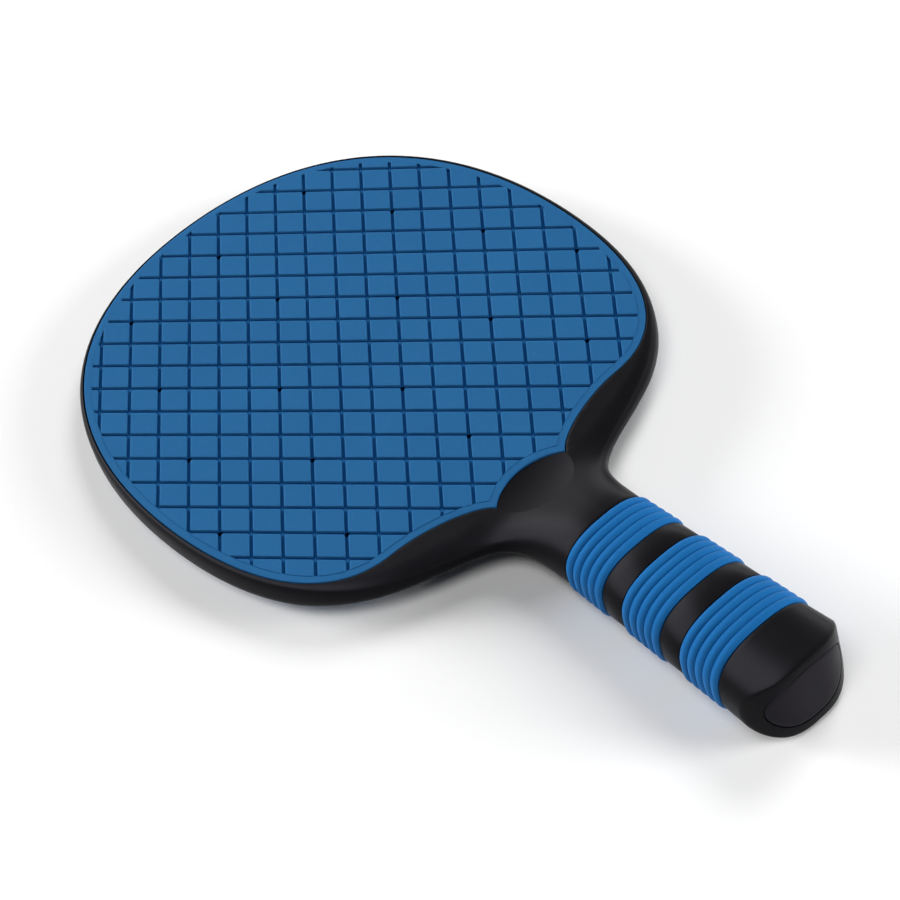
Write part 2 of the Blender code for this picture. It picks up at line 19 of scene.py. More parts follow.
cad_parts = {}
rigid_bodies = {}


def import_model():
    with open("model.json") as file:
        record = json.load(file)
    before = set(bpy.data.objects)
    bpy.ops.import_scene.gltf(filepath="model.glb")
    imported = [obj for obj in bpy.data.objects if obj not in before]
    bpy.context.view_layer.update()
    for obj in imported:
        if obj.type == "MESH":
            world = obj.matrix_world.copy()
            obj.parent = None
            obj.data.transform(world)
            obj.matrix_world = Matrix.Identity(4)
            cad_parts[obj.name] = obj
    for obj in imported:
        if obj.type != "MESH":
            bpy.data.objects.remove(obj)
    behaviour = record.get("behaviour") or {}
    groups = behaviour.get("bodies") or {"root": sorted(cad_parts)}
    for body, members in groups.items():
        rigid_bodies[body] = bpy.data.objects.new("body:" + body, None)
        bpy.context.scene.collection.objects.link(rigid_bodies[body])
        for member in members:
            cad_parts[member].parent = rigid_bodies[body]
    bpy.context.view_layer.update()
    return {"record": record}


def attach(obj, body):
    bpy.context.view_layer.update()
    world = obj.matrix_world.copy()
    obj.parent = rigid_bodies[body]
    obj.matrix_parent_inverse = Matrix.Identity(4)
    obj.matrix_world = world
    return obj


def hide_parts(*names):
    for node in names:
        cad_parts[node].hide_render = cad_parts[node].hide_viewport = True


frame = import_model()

LOG = logging.getLogger("racket")
QUARTER_TURN = math.pi / 2
FULL_TURN = 2 * math.pi
NOTHING = 1e-9
WHITE = (1.0, 1.0, 1.0, 1.0)

Colour = tuple[float, float, float, float]


# Node trees


class Signal:
    """A node's output socket that Python expressions can work on."""

    def __init__(self, tree: "NodeTree", socket: bpy.types.NodeSocket) -> None:
        """Keep the tree that new nodes go into, and the socket itself."""
        self.tree = tree
        self.socket = socket

    def _math(self, operation: str, *others: "Signal | float") -> "Signal":
        """Add one Math node, with this as its first input and the others after it."""
        inputs = dict(enumerate((self, *others)))
        return self.tree.add("ShaderNodeMath", {"operation": operation}, inputs)

    def _turned(self, operation: str, first: float) -> "Signal":
        """Add one Math node whose first input is a number and whose second is this."""
        return self.tree.add("ShaderNodeMath", {"operation": operation}, {0: first, 1: self})

    # Operators with their reflected forms, comparisons that give 1 or 0, and functions.
    __add__, __radd__ = partialmethod(_math, "ADD"), partialmethod(_turned, "ADD")
    __sub__, __rsub__ = partialmethod(_math, "SUBTRACT"), partialmethod(_turned, "SUBTRACT")
    __mul__, __rmul__ = partialmethod(_math, "MULTIPLY"), partialmethod(_turned, "MULTIPLY")
    __truediv__, __rtruediv__ = partialmethod(_math, "DIVIDE"), partialmethod(_turned, "DIVIDE")
    __pow__, __rpow__ = partialmethod(_math, "POWER"), partialmethod(_turned, "POWER")
    __gt__, __lt__ = partialmethod(_math, "GREATER_THAN"), partialmethod(_math, "LESS_THAN")
    __abs__ = partialmethod(_math, "ABSOLUTE")
    sign = partialmethod(_math, "SIGN")
    floor = partialmethod(_math, "FLOOR")
    fraction = partialmethod(_math, "FRACT")
    cosine = partialmethod(_math, "COSINE")
    sine = partialmethod(_math, "SINE")
    least = partialmethod(_math, "MINIMUM")
    most = partialmethod(_math, "MAXIMUM")

    def limited(self) -> "Signal":
        """Kept between 0 and 1."""
        return self.least(1.0).most(0.0)

    def eased(self, low: float, high: float) -> "Signal":
        """Rise smoothly from 0 at low to 1 at high.

        Args:
            low: value that gives 0.
            high: value that gives 1, which may be the smaller one.

        Returns:
            The eased share.
        """
        return self.tree.add(
            "ShaderNodeMapRange",
            {"interpolation_type": "SMOOTHSTEP", "clamp": True},
            {"Value": self, "From Min": low, "From Max": high, "To Min": 0.0, "To Max": 1.0},
        )

    def switched(self, otherwise: "Signal | float", value: "Signal | float") -> "Signal":
        """Value where this is 1, and otherwise the other."""
        return self * value + (1.0 - self) * otherwise


class NodeTree:
    """A material's or geometry tree's nodes, made by one method."""

    def __init__(self, tree: bpy.types.NodeTree) -> None:
        """Start with an empty tree."""
        self.tree = tree
        self.tree.nodes.clear()

    def node(
        self, kind: str, settings: dict | None = None, inputs: dict | None = None
    ) -> bpy.types.Node:
        """Add a node.

        Args:
            kind: the node's type.
            settings: properties, set before any socket.
            inputs: a value or link, or a list of links, by socket name or number.

        Returns:
            The new node.
        """
        made = self.tree.nodes.new(kind)
        for name, value in (settings or {}).items():
            setattr(made, name, value)
        for name, value in (inputs or {}).items():
            socket = made.inputs[name]
            for one in value if isinstance(value, list) else [value]:
                if isinstance(one, Signal):
                    self.tree.links.new(one.socket, socket)
                else:
                    socket.default_value = one
        return made

    def add(
        self, kind: str, settings: dict | None = None, inputs: dict | None = None, output: int | str = 0
    ) -> Signal:
        """Add a node as node() does, and return its output of a name or number."""
        return Signal(self, self.node(kind, settings, inputs).outputs[output])

    def joined(self, x: Signal | float, y: Signal | float, z: Signal | float) -> Signal:
        """Vector from three numbers."""
        return self.add("ShaderNodeCombineXYZ", None, {0: x, 1: y, 2: z})

    def parts(self, vector: Signal) -> tuple[Signal, Signal, Signal]:
        """The three numbers of a vector."""
        split = self.node("ShaderNodeSeparateXYZ", None, {0: vector})
        return tuple(Signal(self, socket) for socket in split.outputs)

    def mixed(self, share: Signal | float, first: Signal | Colour, second: Signal | Colour) -> Signal:
        """Colour that is the first at a share of 0 and the second at 1."""
        # Mix has sockets of one name for each kind of value, so they go by number.
        settings = {"data_type": "RGBA", "clamp_factor": True}
        return self.add("ShaderNodeMix", settings, {0: share, 6: first, 7: second}, 2)


# Rest pose


@dataclass(frozen=True)
class RestPose:
    """How the racket frame lies on the table."""

    tilt: float
    origin: Vector

    @classmethod
    def from_record(cls, record: dict, mount_y: float) -> "RestPose":
        """Read the pose from the record's two face mounts.

        Args:
            record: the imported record.
            mount_y: the mounts' place along the racket frame's Y axis.

        Returns:
            The pose.
        """
        mounts = {mount["name"]: mount for mount in record["mounts"]}
        front, back = mounts["front_face"], mounts["back_face"]
        tilt = math.atan2(-front["axis"][1], front["axis"][2])
        middle = (Vector(front["pos_m"]) + Vector(back["pos_m"])) / 2
        turn = Matrix.Rotation(tilt, 4, "X")
        return cls(tilt, middle - turn @ Vector((0.0, mount_y, 0.0)))

    def matrix(self) -> Matrix:
        """Matrix from the racket frame to the table."""
        return Matrix.Translation(self.origin) @ Matrix.Rotation(self.tilt, 4, "X")

    def mapping(self) -> dict:
        """Values for a Mapping node that takes the table's coordinates to the racket frame."""
        inverse = self.matrix().inverted()
        return {"Location": inverse.translation, "Rotation": (-self.tilt, 0.0, 0.0)}


# Sizes


def bezier(start: Vector, pull: Vector, far_pull: Vector, end: Vector, steps: int) -> list[Vector]:
    """Points of a cubic arc, from its start up to but not with its end.

    Args:
        start: first point.
        pull: point that the arc leaves its start towards.
        far_pull: point that it comes to its end from.
        end: last point, which is left out.
        steps: number of points.

    Returns:
        The points.
    """
    points = []
    for k in range(steps):
        t = k / steps
        s = 1 - t
        points.append(start * s**3 + pull * 3 * s * s * t + far_pull * 3 * s * t * t + end * t**3)
    return points


def blade_end(half_width: float, tip: float, fullness: float, steps: int) -> list[Vector]:
    """Right quarter of a blade's round end, from its tip up to but not with its widest place."""
    pull, far_pull = Vector((half_width * fullness, tip)), Vector((half_width, tip * fullness))
    return bezier(Vector((0, tip)), pull, far_pull, Vector((half_width, 0)), steps)


def quarter_round(radius: float, steps: int) -> list[tuple[float, float]]:
    """Points of a rounded edge, upright side first, as distances inwards and down from it."""
    angles = [QUARTER_TURN * k / steps for k in range(steps + 1)]
    return [(radius * (1 - math.cos(angle)), radius * (1 - math.sin(angle))) for angle in angles]


def outline_normals(points: list[Vector]) -> list[Vector]:
    """Outward unit normals of an outline.

    Args:
        points: the outline's right half, from the tip downwards.

    Returns:
        A normal for each point.
    """
    last = len(points) - 1
    normals = []
    for k in range(len(points)):
        along = points[min(k + 1, last)] - points[max(k - 1, 0)]
        normals.append(Vector((-along.y, along.x)).normalized())
    normals[0] = Vector((0.0, 1.0))
    return normals


def spread_evenly(points: list[Vector], count: int) -> list[Vector]:
    """Points at equal steps along a line.

    Args:
        points: corners of the line.
        count: number of points wanted, both ends among them.

    Returns:
        The new points.
    """
    lengths = [0.0]
    for first, second in zip(points, points[1:]):
        lengths.append(lengths[-1] + (second - first).length)
    spread = []
    k = 0
    for n in range(count):
        target = lengths[-1] * n / (count - 1)
        while k < len(points) - 2 and lengths[k + 1] < target:
            k += 1
        span = lengths[k + 1] - lengths[k]
        spread.append(points[k].lerp(points[k + 1], (target - lengths[k]) / span if span else 0.0))
    return spread


@dataclass(frozen=True)
class SheetOutline:
    """Outline of a face sheet, which the body's tray follows."""

    half_width: float = 0.07385
    tip_reach: float = 0.0850
    fullness: float = 0.623
    side_pull: float = 0.0279
    hip: tuple[float, float] = (0.0405, -0.0595)
    hip_pull: float = 0.0257
    hollow_pull: float = 0.0100
    cusp: tuple[float, float] = (0.01245, -0.06965)
    cusp_pull: float = 0.0063
    cusp_angle: float = math.radians(58)
    thumb_arc_y: float = -0.0646
    side_points: int = 170
    arc_points: int = 16
    overshoot: float = 0.002

    def side(self) -> list[Vector]:
        """Right half of the edge.

        Returns:
            Points from the tip to the cusp beside the thumb arc.
        """
        steps = self.side_points
        widest, hip, cusp = Vector((self.half_width, 0)), Vector(self.hip), Vector(self.cusp)
        below = widest - Vector((0, self.side_pull))
        slope = Vector((math.cos(self.cusp_angle), math.sin(self.cusp_angle)))
        points = blade_end(self.half_width, self.tip_reach, self.fullness, steps)
        points += bezier(widest, below, hip + Vector((self.hip_pull, 0)), hip, steps)
        inside = hip - Vector((self.hollow_pull, 0))
        points += bezier(hip, inside, cusp + slope * self.cusp_pull, cusp, steps)
        return [*points, cusp]

    def thumb_circle(self) -> tuple[Vector, float]:
        """Circle that the thumb arc lies on.

        Returns:
            Its centre and radius.
        """
        sag = self.thumb_arc_y - self.cusp[1]
        radius = (self.cusp[0] ** 2 + sag**2) / (2 * sag)
        return Vector((0.0, self.thumb_arc_y - radius)), radius

    def loop(self, inset: float) -> list[Vector]:
        """Closed outline moved inwards.

        Args:
            inset: distance inwards, negative for outwards.

        Returns:
            The points, always the same number, anticlockwise from above.
        """
        side = self.side()
        moved = [point - normal * inset for point, normal in zip(side, outline_normals(side))]
        moved.append(moved[-1] + (moved[-1] - moved[-2]).normalized() * self.overshoot)
        centre, radius = self.thumb_circle()
        radius += inset
        kept = []
        for point in moved:
            if (point - centre).length < radius:
                break
            kept.append(point)
        near = (point - centre).length
        far = (kept[-1] - centre).length
        corner = kept[-1].lerp(point, (far - radius) / (far - near))
        half = spread_evenly(kept + [corner], self.side_points)
        end_angle = math.atan2(corner.x, corner.y - centre.y)
        for k in range(self.arc_points - 1, -1, -1):
            angle = end_angle * k / self.arc_points
            half.append(centre + Vector((math.sin(angle), math.cos(angle))) * radius)
        half[0].x = 0.0
        left = [Vector((-point.x, point.y)) for point in half[1:-1]]
        return half[::-1] + left


@dataclass(frozen=True)
class SheetSizes:
    """Thickness, tiles, grooves and pin holes of a face sheet."""

    top: float = 0.0044
    seat: float = 0.0020
    border_width: float = 0.0022
    border_drop: float = 0.00018
    edge_round: float = 0.0003
    tile_side: float = 0.0089
    tile_angle: float = math.radians(76)
    row_y: float = -0.04435
    middle_row: int = 7
    reach: int = 13
    groove_width: float = 0.00100
    groove_depth: float = 0.0010
    groove_draft: float = 0.00012
    tile_round: float = 0.00032
    tile_flat: float = 0.00018
    tile_corner: float = 0.00045
    corner_fullness: float = 0.45
    embed: float = 0.0002
    field_overlap: float = 0.00006
    pin_radius: float = 0.00080
    pin_sides: int = 16
    pin_rows: tuple[tuple[int, tuple[int, ...]], ...] = (
        (0, (0, 8)),
        (4, (0, 6, 12)),
        (8, (4, 10)),
        (12, (0, 8)),
        (16, (0, 6)),
    )

    @property
    def step_x(self) -> float:
        """Half the tile's diagonal across the racket."""
        return self.tile_side * math.sin(self.tile_angle / 2)

    @property
    def step_y(self) -> float:
        """Half the tile's diagonal along the racket."""
        return self.tile_side * math.cos(self.tile_angle / 2)

    @property
    def pitch(self) -> float:
        """Distance between neighbouring grooves."""
        return self.tile_side * math.sin(self.tile_angle)

    @property
    def groove_floor(self) -> float:
        """Height of the grooves' floor over the mid-plane."""
        return self.top - self.groove_depth

    @property
    def mount_y(self) -> float:
        """Middle of the tile that carries the record's face mounts."""
        return self.row_y + self.middle_row * self.step_y

    def pin_places(self) -> list[tuple[float, float]]:
        """Groove crossings that have a pin hole.

        Returns:
            The x and y of each, on both sides of the middle line.
        """
        places = []
        for row, columns in self.pin_rows:
            y = self.row_y + row * self.step_y
            for column in columns:
                for side in (1, -1) if column else (1,):
                    places.append((side * column * self.step_x, y))
        return places


@dataclass(frozen=True)
class HandleSizes:
    """The oval handle, its rounded end, and the channels for the grip bands."""

    start: float = -0.0975
    start_half_width: float = 0.01444
    start_half_thickness: float = 0.0103
    end_half_width: float = 0.01675
    end_half_thickness: float = 0.0125
    power: float = 2.53
    butt_length: float = 0.0164
    butt_drop: float = 0.0084
    butt_power: float = 3.17
    butt_edge: float = 0.0008
    band_count: int = 3
    band_first_offset: float = 0.0011
    band_gap: float = 0.00725
    rib_count: int = 5
    rib_pitch: float = 0.00293
    channel_depth: float = 0.0012

    @property
    def band_width(self) -> float:
        """Width of one band's channel."""
        return self.rib_count * self.rib_pitch

    @property
    def band_starts(self) -> list[float]:
        """Where each channel begins, from the neck."""
        step = self.band_width + self.band_gap
        return [self.start - self.band_first_offset - k * step for k in range(self.band_count)]

    @property
    def end(self) -> float:
        """Furthest point of the handle."""
        return self.band_starts[-1] - self.band_width - self.butt_length

    def section(self, y: float) -> tuple[float, float]:
        """Size of the handle at a station.

        Args:
            y: the station.

        Returns:
            Half of its width and half of its thickness.
        """
        share = (y - self.start) / (self.end - self.start)
        wider = self.end_half_width - self.start_half_width
        thicker = self.end_half_thickness - self.start_half_thickness
        return self.start_half_width + share * wider, self.start_half_thickness + share * thicker

    def butt_fall(self, x: float) -> float:
        """How far the rounded end falls back from its furthest point, at x."""
        half_width, _ = self.section(self.end)
        return self.butt_drop * min(abs(x) / half_width, 1.0) ** self.butt_power


def oval_point(half_width: float, height: float, power: float, angle: float) -> tuple[float, float]:
    """Point of a rounded-box oval.

    Args:
        half_width: half of its width.
        height: half of its height.
        power: 2 is an ellipse, more is boxier.
        angle: 0 at the side, a quarter turn at the top.

    Returns:
        Its x and z.
    """
    across, up = (
        math.copysign(abs(part) ** (2 / power), part) if abs(part) > NOTHING else 0.0
        for part in (math.cos(angle), math.sin(angle))
    )
    return half_width * across, height * up


def oval_ring(half_width: float, height: float, power: float, count: int) -> list[tuple[float, float]]:
    """Points all round a rounded-box oval, as the x and z of each."""
    return [oval_point(half_width, height, power, FULL_TURN * k / count) for k in range(count)]


def smooth_step(t: float) -> float:
    """Ease from 0 to 1."""
    t = min(max(t, 0.0), 1.0)
    return t * t * (3 - 2 * t)


# Mesh work


class Workshop:
    """Makes, cuts and finishes meshes in the racket frame."""

    WELD = 1e-6

    def __init__(self, pose: RestPose) -> None:
        """Keep the pose that finished pieces are laid down in."""
        self.pose = pose

    @staticmethod
    def draft(name: str, builder: bmesh.types.BMesh) -> bpy.types.Object:
        """Turn a bmesh into a linked object, and free it.

        Args:
            name: the object's name.
            builder: the bmesh.

        Returns:
            The object.
        """
        mesh = bpy.data.meshes.new(name)
        builder.to_mesh(mesh)
        builder.free()
        made = bpy.data.objects.new(name, mesh)
        bpy.context.scene.collection.objects.link(made)
        return made

    @staticmethod
    def loft(loops: list[list[Vector]]) -> bmesh.types.BMesh:
        """Skin loops of equal length, with a cap on either end.

        Args:
            loops: the loops, each a closed ring of points.

        Returns:
            The skinned solid.
        """
        builder = bmesh.new()
        rings = [[builder.verts.new(point) for point in loop] for loop in loops]
        count = len(rings[0])
        for lower, upper in zip(rings, rings[1:]):
            for k in range(count):
                n = (k + 1) % count
                builder.faces.new((lower[k], lower[n], upper[n], upper[k]))
        builder.faces.new(rings[0][::-1])
        builder.faces.new(rings[-1])
        bmesh.ops.recalc_face_normals(builder, faces=builder.faces)
        return builder

    def prism(self, loops: list[tuple[list[Vector], float]]) -> bmesh.types.BMesh:
        """Solid over flat outlines, each with its height."""
        return self.loft([[Vector((p.x, p.y, z)) for p in points] for points, z in loops])

    @staticmethod
    def scrap(tools: list[bpy.types.Object]) -> None:
        """Remove tools that have done their work."""
        for tool in tools:
            bpy.data.objects.remove(tool, do_unlink=True)

    @staticmethod
    def settle(target: bpy.types.Object) -> None:
        """Turn an object's modifiers into plain mesh.

        Args:
            target: the object, whose mesh is replaced.
        """
        depsgraph = bpy.context.evaluated_depsgraph_get()
        mesh = bpy.data.meshes.new_from_object(target.evaluated_get(depsgraph))
        target.modifiers.clear()
        old, target.data = target.data, mesh
        mesh.name = target.name
        bpy.data.meshes.remove(old)

    def cut(self, target: bpy.types.Object, tools: list[bpy.types.Object]) -> None:
        """Cut tools out of a target, and remove them.

        Args:
            target: the object that is cut.
            tools: closed shapes to take away.
        """
        for tool in tools:
            modifier = target.modifiers.new(tool.name, "BOOLEAN")
            modifier.operation = "DIFFERENCE"
            modifier.solver = "EXACT"
            modifier.object = tool
        self.settle(target)
        self.scrap(tools)

    def finish(
        self, piece: bpy.types.Object, material: bpy.types.Material, node: str, slot: str, sharp: float
    ) -> None:
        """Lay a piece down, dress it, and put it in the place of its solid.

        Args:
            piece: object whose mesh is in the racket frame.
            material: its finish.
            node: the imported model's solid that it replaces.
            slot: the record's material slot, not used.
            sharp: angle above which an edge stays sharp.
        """
        mesh = piece.data
        mesh.transform(self.pose.matrix())
        builder = bmesh.new()
        builder.from_mesh(mesh)
        bmesh.ops.remove_doubles(builder, verts=builder.verts, dist=self.WELD)
        bmesh.ops.recalc_face_normals(builder, faces=builder.faces)
        builder.to_mesh(mesh)
        open_edges = sum(1 for edge in builder.edges if not edge.is_manifold)
        builder.free()
        mesh.materials.clear()
        mesh.materials.append(material)
        mesh.shade_smooth()
        mesh.set_sharp_from_angle(angle=sharp)
        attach(piece, "root")
        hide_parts(node)
        mesh.calc_loop_triangles()
        LOG.info(
            "%s: %d triangles, %d open edges, stands for %s",
            piece.name, len(mesh.loop_triangles), open_edges, node,
        )


class GeometryTree(NodeTree):
    """Geometry tree with named inputs, which gives plain mesh with its finish on."""

    def __init__(self, name: str, inputs: dict[str, tuple[str, ...]]) -> None:
        """Make the interface.

        Args:
            name: the tree's name.
            inputs: names of the input sockets of each type. Material is added to them.
        """
        super().__init__(bpy.data.node_groups.new(name, "GeometryNodeTree"))
        interface = self.tree.interface
        self.ids = {}
        for kind, labels in {**inputs, "Material": ("Material",)}.items():
            for label in labels:
                made = interface.new_socket(label, in_out="INPUT", socket_type="NodeSocket" + kind)
                self.ids[label] = made.identifier
        interface.new_socket("Mesh", in_out="OUTPUT", socket_type="NodeSocketGeometry")
        group = self.node("NodeGroupInput")
        self.given = {socket.name: Signal(self, socket) for socket in group.outputs if socket.name}

    def moved(self, geometry: Signal, x: Signal, y: Signal, z: Signal | float) -> Signal:
        """Geometry with its points put at new places."""
        place = self.joined(x, y, z)
        return self.add("GeometryNodeSetPosition", None, {"Geometry": geometry, "Position": place})

    def close(self, geometry: Signal) -> None:
        """Make the result plain mesh, dress it, and hand it out.

        Args:
            geometry: the result.
        """
        real = self.add("GeometryNodeRealizeInstances", None, {"Geometry": geometry})
        dressed = self.add(
            "GeometryNodeSetMaterial", None, {"Geometry": real, "Material": self.given["Material"]}
        )
        self.node("NodeGroupOutput", None, {"Mesh": dressed})

    def shape(self, target: bpy.types.Object, values: dict) -> None:
        """Run the tree on an object and keep what it gives as the object's mesh.

        Args:
            target: the object.
            values: the inputs, by name.
        """
        modifier = target.modifiers.new(self.tree.name, "NODES")
        modifier.node_group = self.tree
        for name, value in values.items():
            modifier[self.ids[name]] = value
        Workshop.settle(target)


# Finishes


class Finish:
    """A procedural material in the making: its coordinates, noises, relief and shader."""

    STREAKS = (0.70, 0.80)

    def __init__(self, name: str, pose: RestPose) -> None:
        """Start an empty material with coordinates in the racket frame.

        Args:
            name: the material's name.
            pose: how the racket lies.
        """
        self.material = bpy.data.materials.new(name)
        self.material.use_nodes = True
        self.nodes = NodeTree(self.material.node_tree)
        table = self.nodes.add("ShaderNodeTexCoord", None, None, "Object")
        self.place = self.nodes.add(
            "ShaderNodeMapping", {"vector_type": "POINT"}, {"Vector": table, **pose.mapping()}
        )

    def noise(self, size: float, detail: float = 2.0, roughness: float = 0.5) -> Signal:
        """Noise with blobs of a given size.

        Args:
            size: size of a blob.
            detail: octaves.
            roughness: strength of the finer octaves.

        Returns:
            A number about 0.5.
        """
        return self.nodes.add(
            "ShaderNodeTexNoise",
            None,
            {"Vector": self.place, "Scale": 1 / size, "Detail": detail, "Roughness": roughness},
        )

    def scratches(self, length: float, width: float, angle: float) -> Signal:
        """Fine straight marks along one direction of the face.

        Args:
            length: length of a mark.
            width: width of a mark.
            angle: direction, from +X.

        Returns:
            0 on clean ground to 1 in a mark.
        """
        turned = self.nodes.add(
            "ShaderNodeMapping",
            {"vector_type": "POINT"},
            {
                "Vector": self.place,
                "Rotation": (0.0, 0.0, angle),
                "Scale": (1 / length, 1 / width, 1 / length),
            },
        )
        streaks = self.nodes.add(
            "ShaderNodeTexNoise", None, {"Vector": turned, "Scale": 1.0, "Detail": 1.0}
        )
        return streaks.eased(*self.STREAKS)

    def bump(self, height: Signal, depth: float) -> Signal:
        """Surface normal from a height of 0 to 1, for a relief of a given depth."""
        return self.nodes.add(
            "ShaderNodeBump", None, {"Strength": 1.0, "Distance": depth, "Height": height}
        )

    def shade(
        self,
        colour: Signal,
        roughness: Signal,
        normal: Signal,
        specular: float,
        specular_tint: Colour = WHITE,
    ) -> None:
        """Close the tree with the shader.

        Args:
            colour: base colour.
            roughness: roughness.
            normal: bumped normal.
            specular: strength of the plain gloss, 0.5 for common plastic.
            specular_tint: colour of the plain gloss.
        """
        shader = self.nodes.add(
            "ShaderNodeBsdfPrincipled",
            None,
            {
                "Base Color": colour,
                "Roughness": roughness,
                "Normal": normal,
                "Specular IOR Level": specular,
                "Specular Tint": specular_tint,
            },
        )
        self.nodes.node("ShaderNodeOutputMaterial", None, {"Surface": shader})


@dataclass(frozen=True)
class MouldedPlastic:
    """Satin black plastic with a fine spark-eroded grain."""

    name: str
    colour: Colour
    tint: Colour
    roughness: float
    specular: float
    gloss_tint: Colour = (0.89, 0.85, 1.00, 1.0)
    grain_size: float = 0.00045
    grain_depth: float = 0.000010
    grain_swing: float = 0.08
    drift_size: float = 0.022
    drift_range: tuple[float, float] = (0.3, 0.7)
    smudge_size: float = 0.009
    smudge_swing: float = 0.14
    long_scratch: tuple[float, float, float] = (0.006, 0.00025, 0.5)
    short_scratch: tuple[float, float, float] = (0.004, 0.0002, -0.9)
    scratch_share: float = 0.25
    scratch_gain: float = 2.2
    scratch_gloss: float = 0.05

    def build(self, pose: RestPose) -> bpy.types.Material:
        """Make the material.

        Args:
            pose: how the racket lies.

        Returns:
            The material.
        """
        finish = Finish(self.name, pose)
        nodes = finish.nodes
        drift = finish.noise(self.drift_size, detail=3.0)
        grain = finish.noise(self.grain_size, roughness=0.6)
        smudge = finish.noise(self.smudge_size, detail=4.0, roughness=0.6)
        marks = finish.scratches(*self.long_scratch).most(finish.scratches(*self.short_scratch))
        marked = (*(channel * self.scratch_gain for channel in self.tint[:3]), 1.0)
        colour = nodes.mixed(drift.eased(*self.drift_range), self.colour, self.tint)
        colour = nodes.mixed(marks * self.scratch_share, colour, marked)
        roughness = self.roughness + (smudge - 0.5) * self.smudge_swing
        roughness = roughness + (grain - 0.5) * self.grain_swing - marks * self.scratch_gloss
        normal = finish.bump(grain, self.grain_depth)
        finish.shade(colour, roughness, normal, self.specular, self.gloss_tint)
        return finish.material


@dataclass(frozen=True)
class Rubber:
    """Matte blue rubber, as far as the sheets and the grip bands are alike."""

    name: str
    colour: Colour
    pale: Colour
    # Painted shade colour for recesses: the sheets' grooves and the roots between the bands' ribs.
    recess_shade: Colour
    roughness: float
    specular: float = 0.06
    grain_size: float = 0.00030
    grain_depth: float = 0.000012
    fleck_swing: float = 0.12

    def closed(self, finish: Finish, colour: Signal, roughness: Signal) -> bpy.types.Material:
        """Add the fine grain and the shader.

        Args:
            finish: the material in the making.
            colour: base colour.
            roughness: roughness.

        Returns:
            The material.
        """
        grain = finish.noise(self.grain_size, roughness=0.6)
        finish.shade(colour, roughness, finish.bump(grain, self.grain_depth), self.specular)
        return finish.material


@dataclass(frozen=True)
class TileRubber(Rubber):
    """Face sheet: tone by tile, painted highlight on tile edges, painted shade in grooves and pin holes.
    """

    sizes: SheetSizes = SheetSizes()
    # Painted highlight colour for the tiles' top edges.
    edge_highlight: Colour = (0.0300, 0.1500, 0.3300, 1.0)
    # Painted shade colour for the pin holes.
    hole_shade: Colour = (0.0008, 0.0020, 0.0045, 1.0)
    tone: float = 0.28
    drift_size: float = 0.030
    drift_tone: float = 0.55
    fleck_size: float = 0.0016
    fleck_tone: float = 0.40
    tile_tone: float = 0.16
    edge_width: float = 0.00040
    edge_depths: tuple[float, float] = (0.15, 0.04)
    edge_highlight_share: float = 0.65
    edge_gloss: float = 0.22
    groove_depths: tuple[float, float] = (0.45, 1.0)
    groove_shade_share: float = 0.85
    groove_swing: float = 0.10
    crossing_reach: tuple[float, float] = (1.4, 0.5)
    crossing_shade_relief: float = 0.55
    hole_depth: float = 1.1
    hole_shade_share: float = 0.9

    def build(self, pose: RestPose) -> bpy.types.Material:
        """Make the material. Depths are shares of the groove's depth.

        Args:
            pose: how the racket lies.

        Returns:
            The material.
        """
        finish = Finish(self.name, pose)
        nodes = finish.nodes
        x, y, z = nodes.parts(finish.place)
        half, pitch = self.sizes.tile_angle / 2, self.sizes.pitch
        along = y - self.sizes.row_y
        first = (x * math.cos(half) - along * math.sin(half)) / pitch
        second = (x * math.cos(half) + along * math.sin(half)) / pitch
        middles = [(abs(lines.fraction() - 0.5) - 0.5) * -pitch for lines in (first, second)]
        nearer, farther = middles[0].least(middles[1]), middles[0].most(middles[1])
        half_groove = self.sizes.groove_width / 2
        depth = (self.sizes.top - abs(z)) / self.sizes.groove_depth
        edge = nearer.eased(half_groove + self.edge_width, half_groove) * depth.eased(*self.edge_depths)
        sunk = depth.eased(*self.groove_depths)
        crossing = farther.eased(*(half_groove * reach for reach in self.crossing_reach))
        chance = nodes.add(
            "ShaderNodeTexWhiteNoise",
            {"noise_dimensions": "3D"},
            {"Vector": nodes.joined(first.floor(), second.floor(), z.sign())},
        )
        drift = finish.noise(self.drift_size, detail=3.0)
        fleck = finish.noise(self.fleck_size, detail=3.0, roughness=0.65)
        tone = (drift - 0.5) * self.drift_tone + (chance - 0.5) * self.tile_tone
        tone = tone + (fleck - 0.5) * self.fleck_tone + self.tone
        colour = nodes.mixed(tone.limited(), self.colour, self.pale)
        # Painted highlight: paler colour along every tile's top edge.
        colour = nodes.mixed(edge * self.edge_highlight_share, colour, self.edge_highlight)
        # Painted shade in the grooves, with less of it where two grooves cross, as painted light on the
        # open crossing floors.
        groove = sunk * (self.groove_shade_share - crossing * self.crossing_shade_relief)
        colour = nodes.mixed(groove, colour, self.recess_shade)
        # Painted shade: near-black colour on the walls of the pin holes.
        colour = nodes.mixed((depth > self.hole_depth) * self.hole_shade_share, colour, self.hole_shade)
        roughness = self.roughness + (fleck - 0.5) * self.fleck_swing
        roughness = roughness + sunk * self.groove_swing - edge * self.edge_gloss
        return self.closed(finish, colour, roughness)


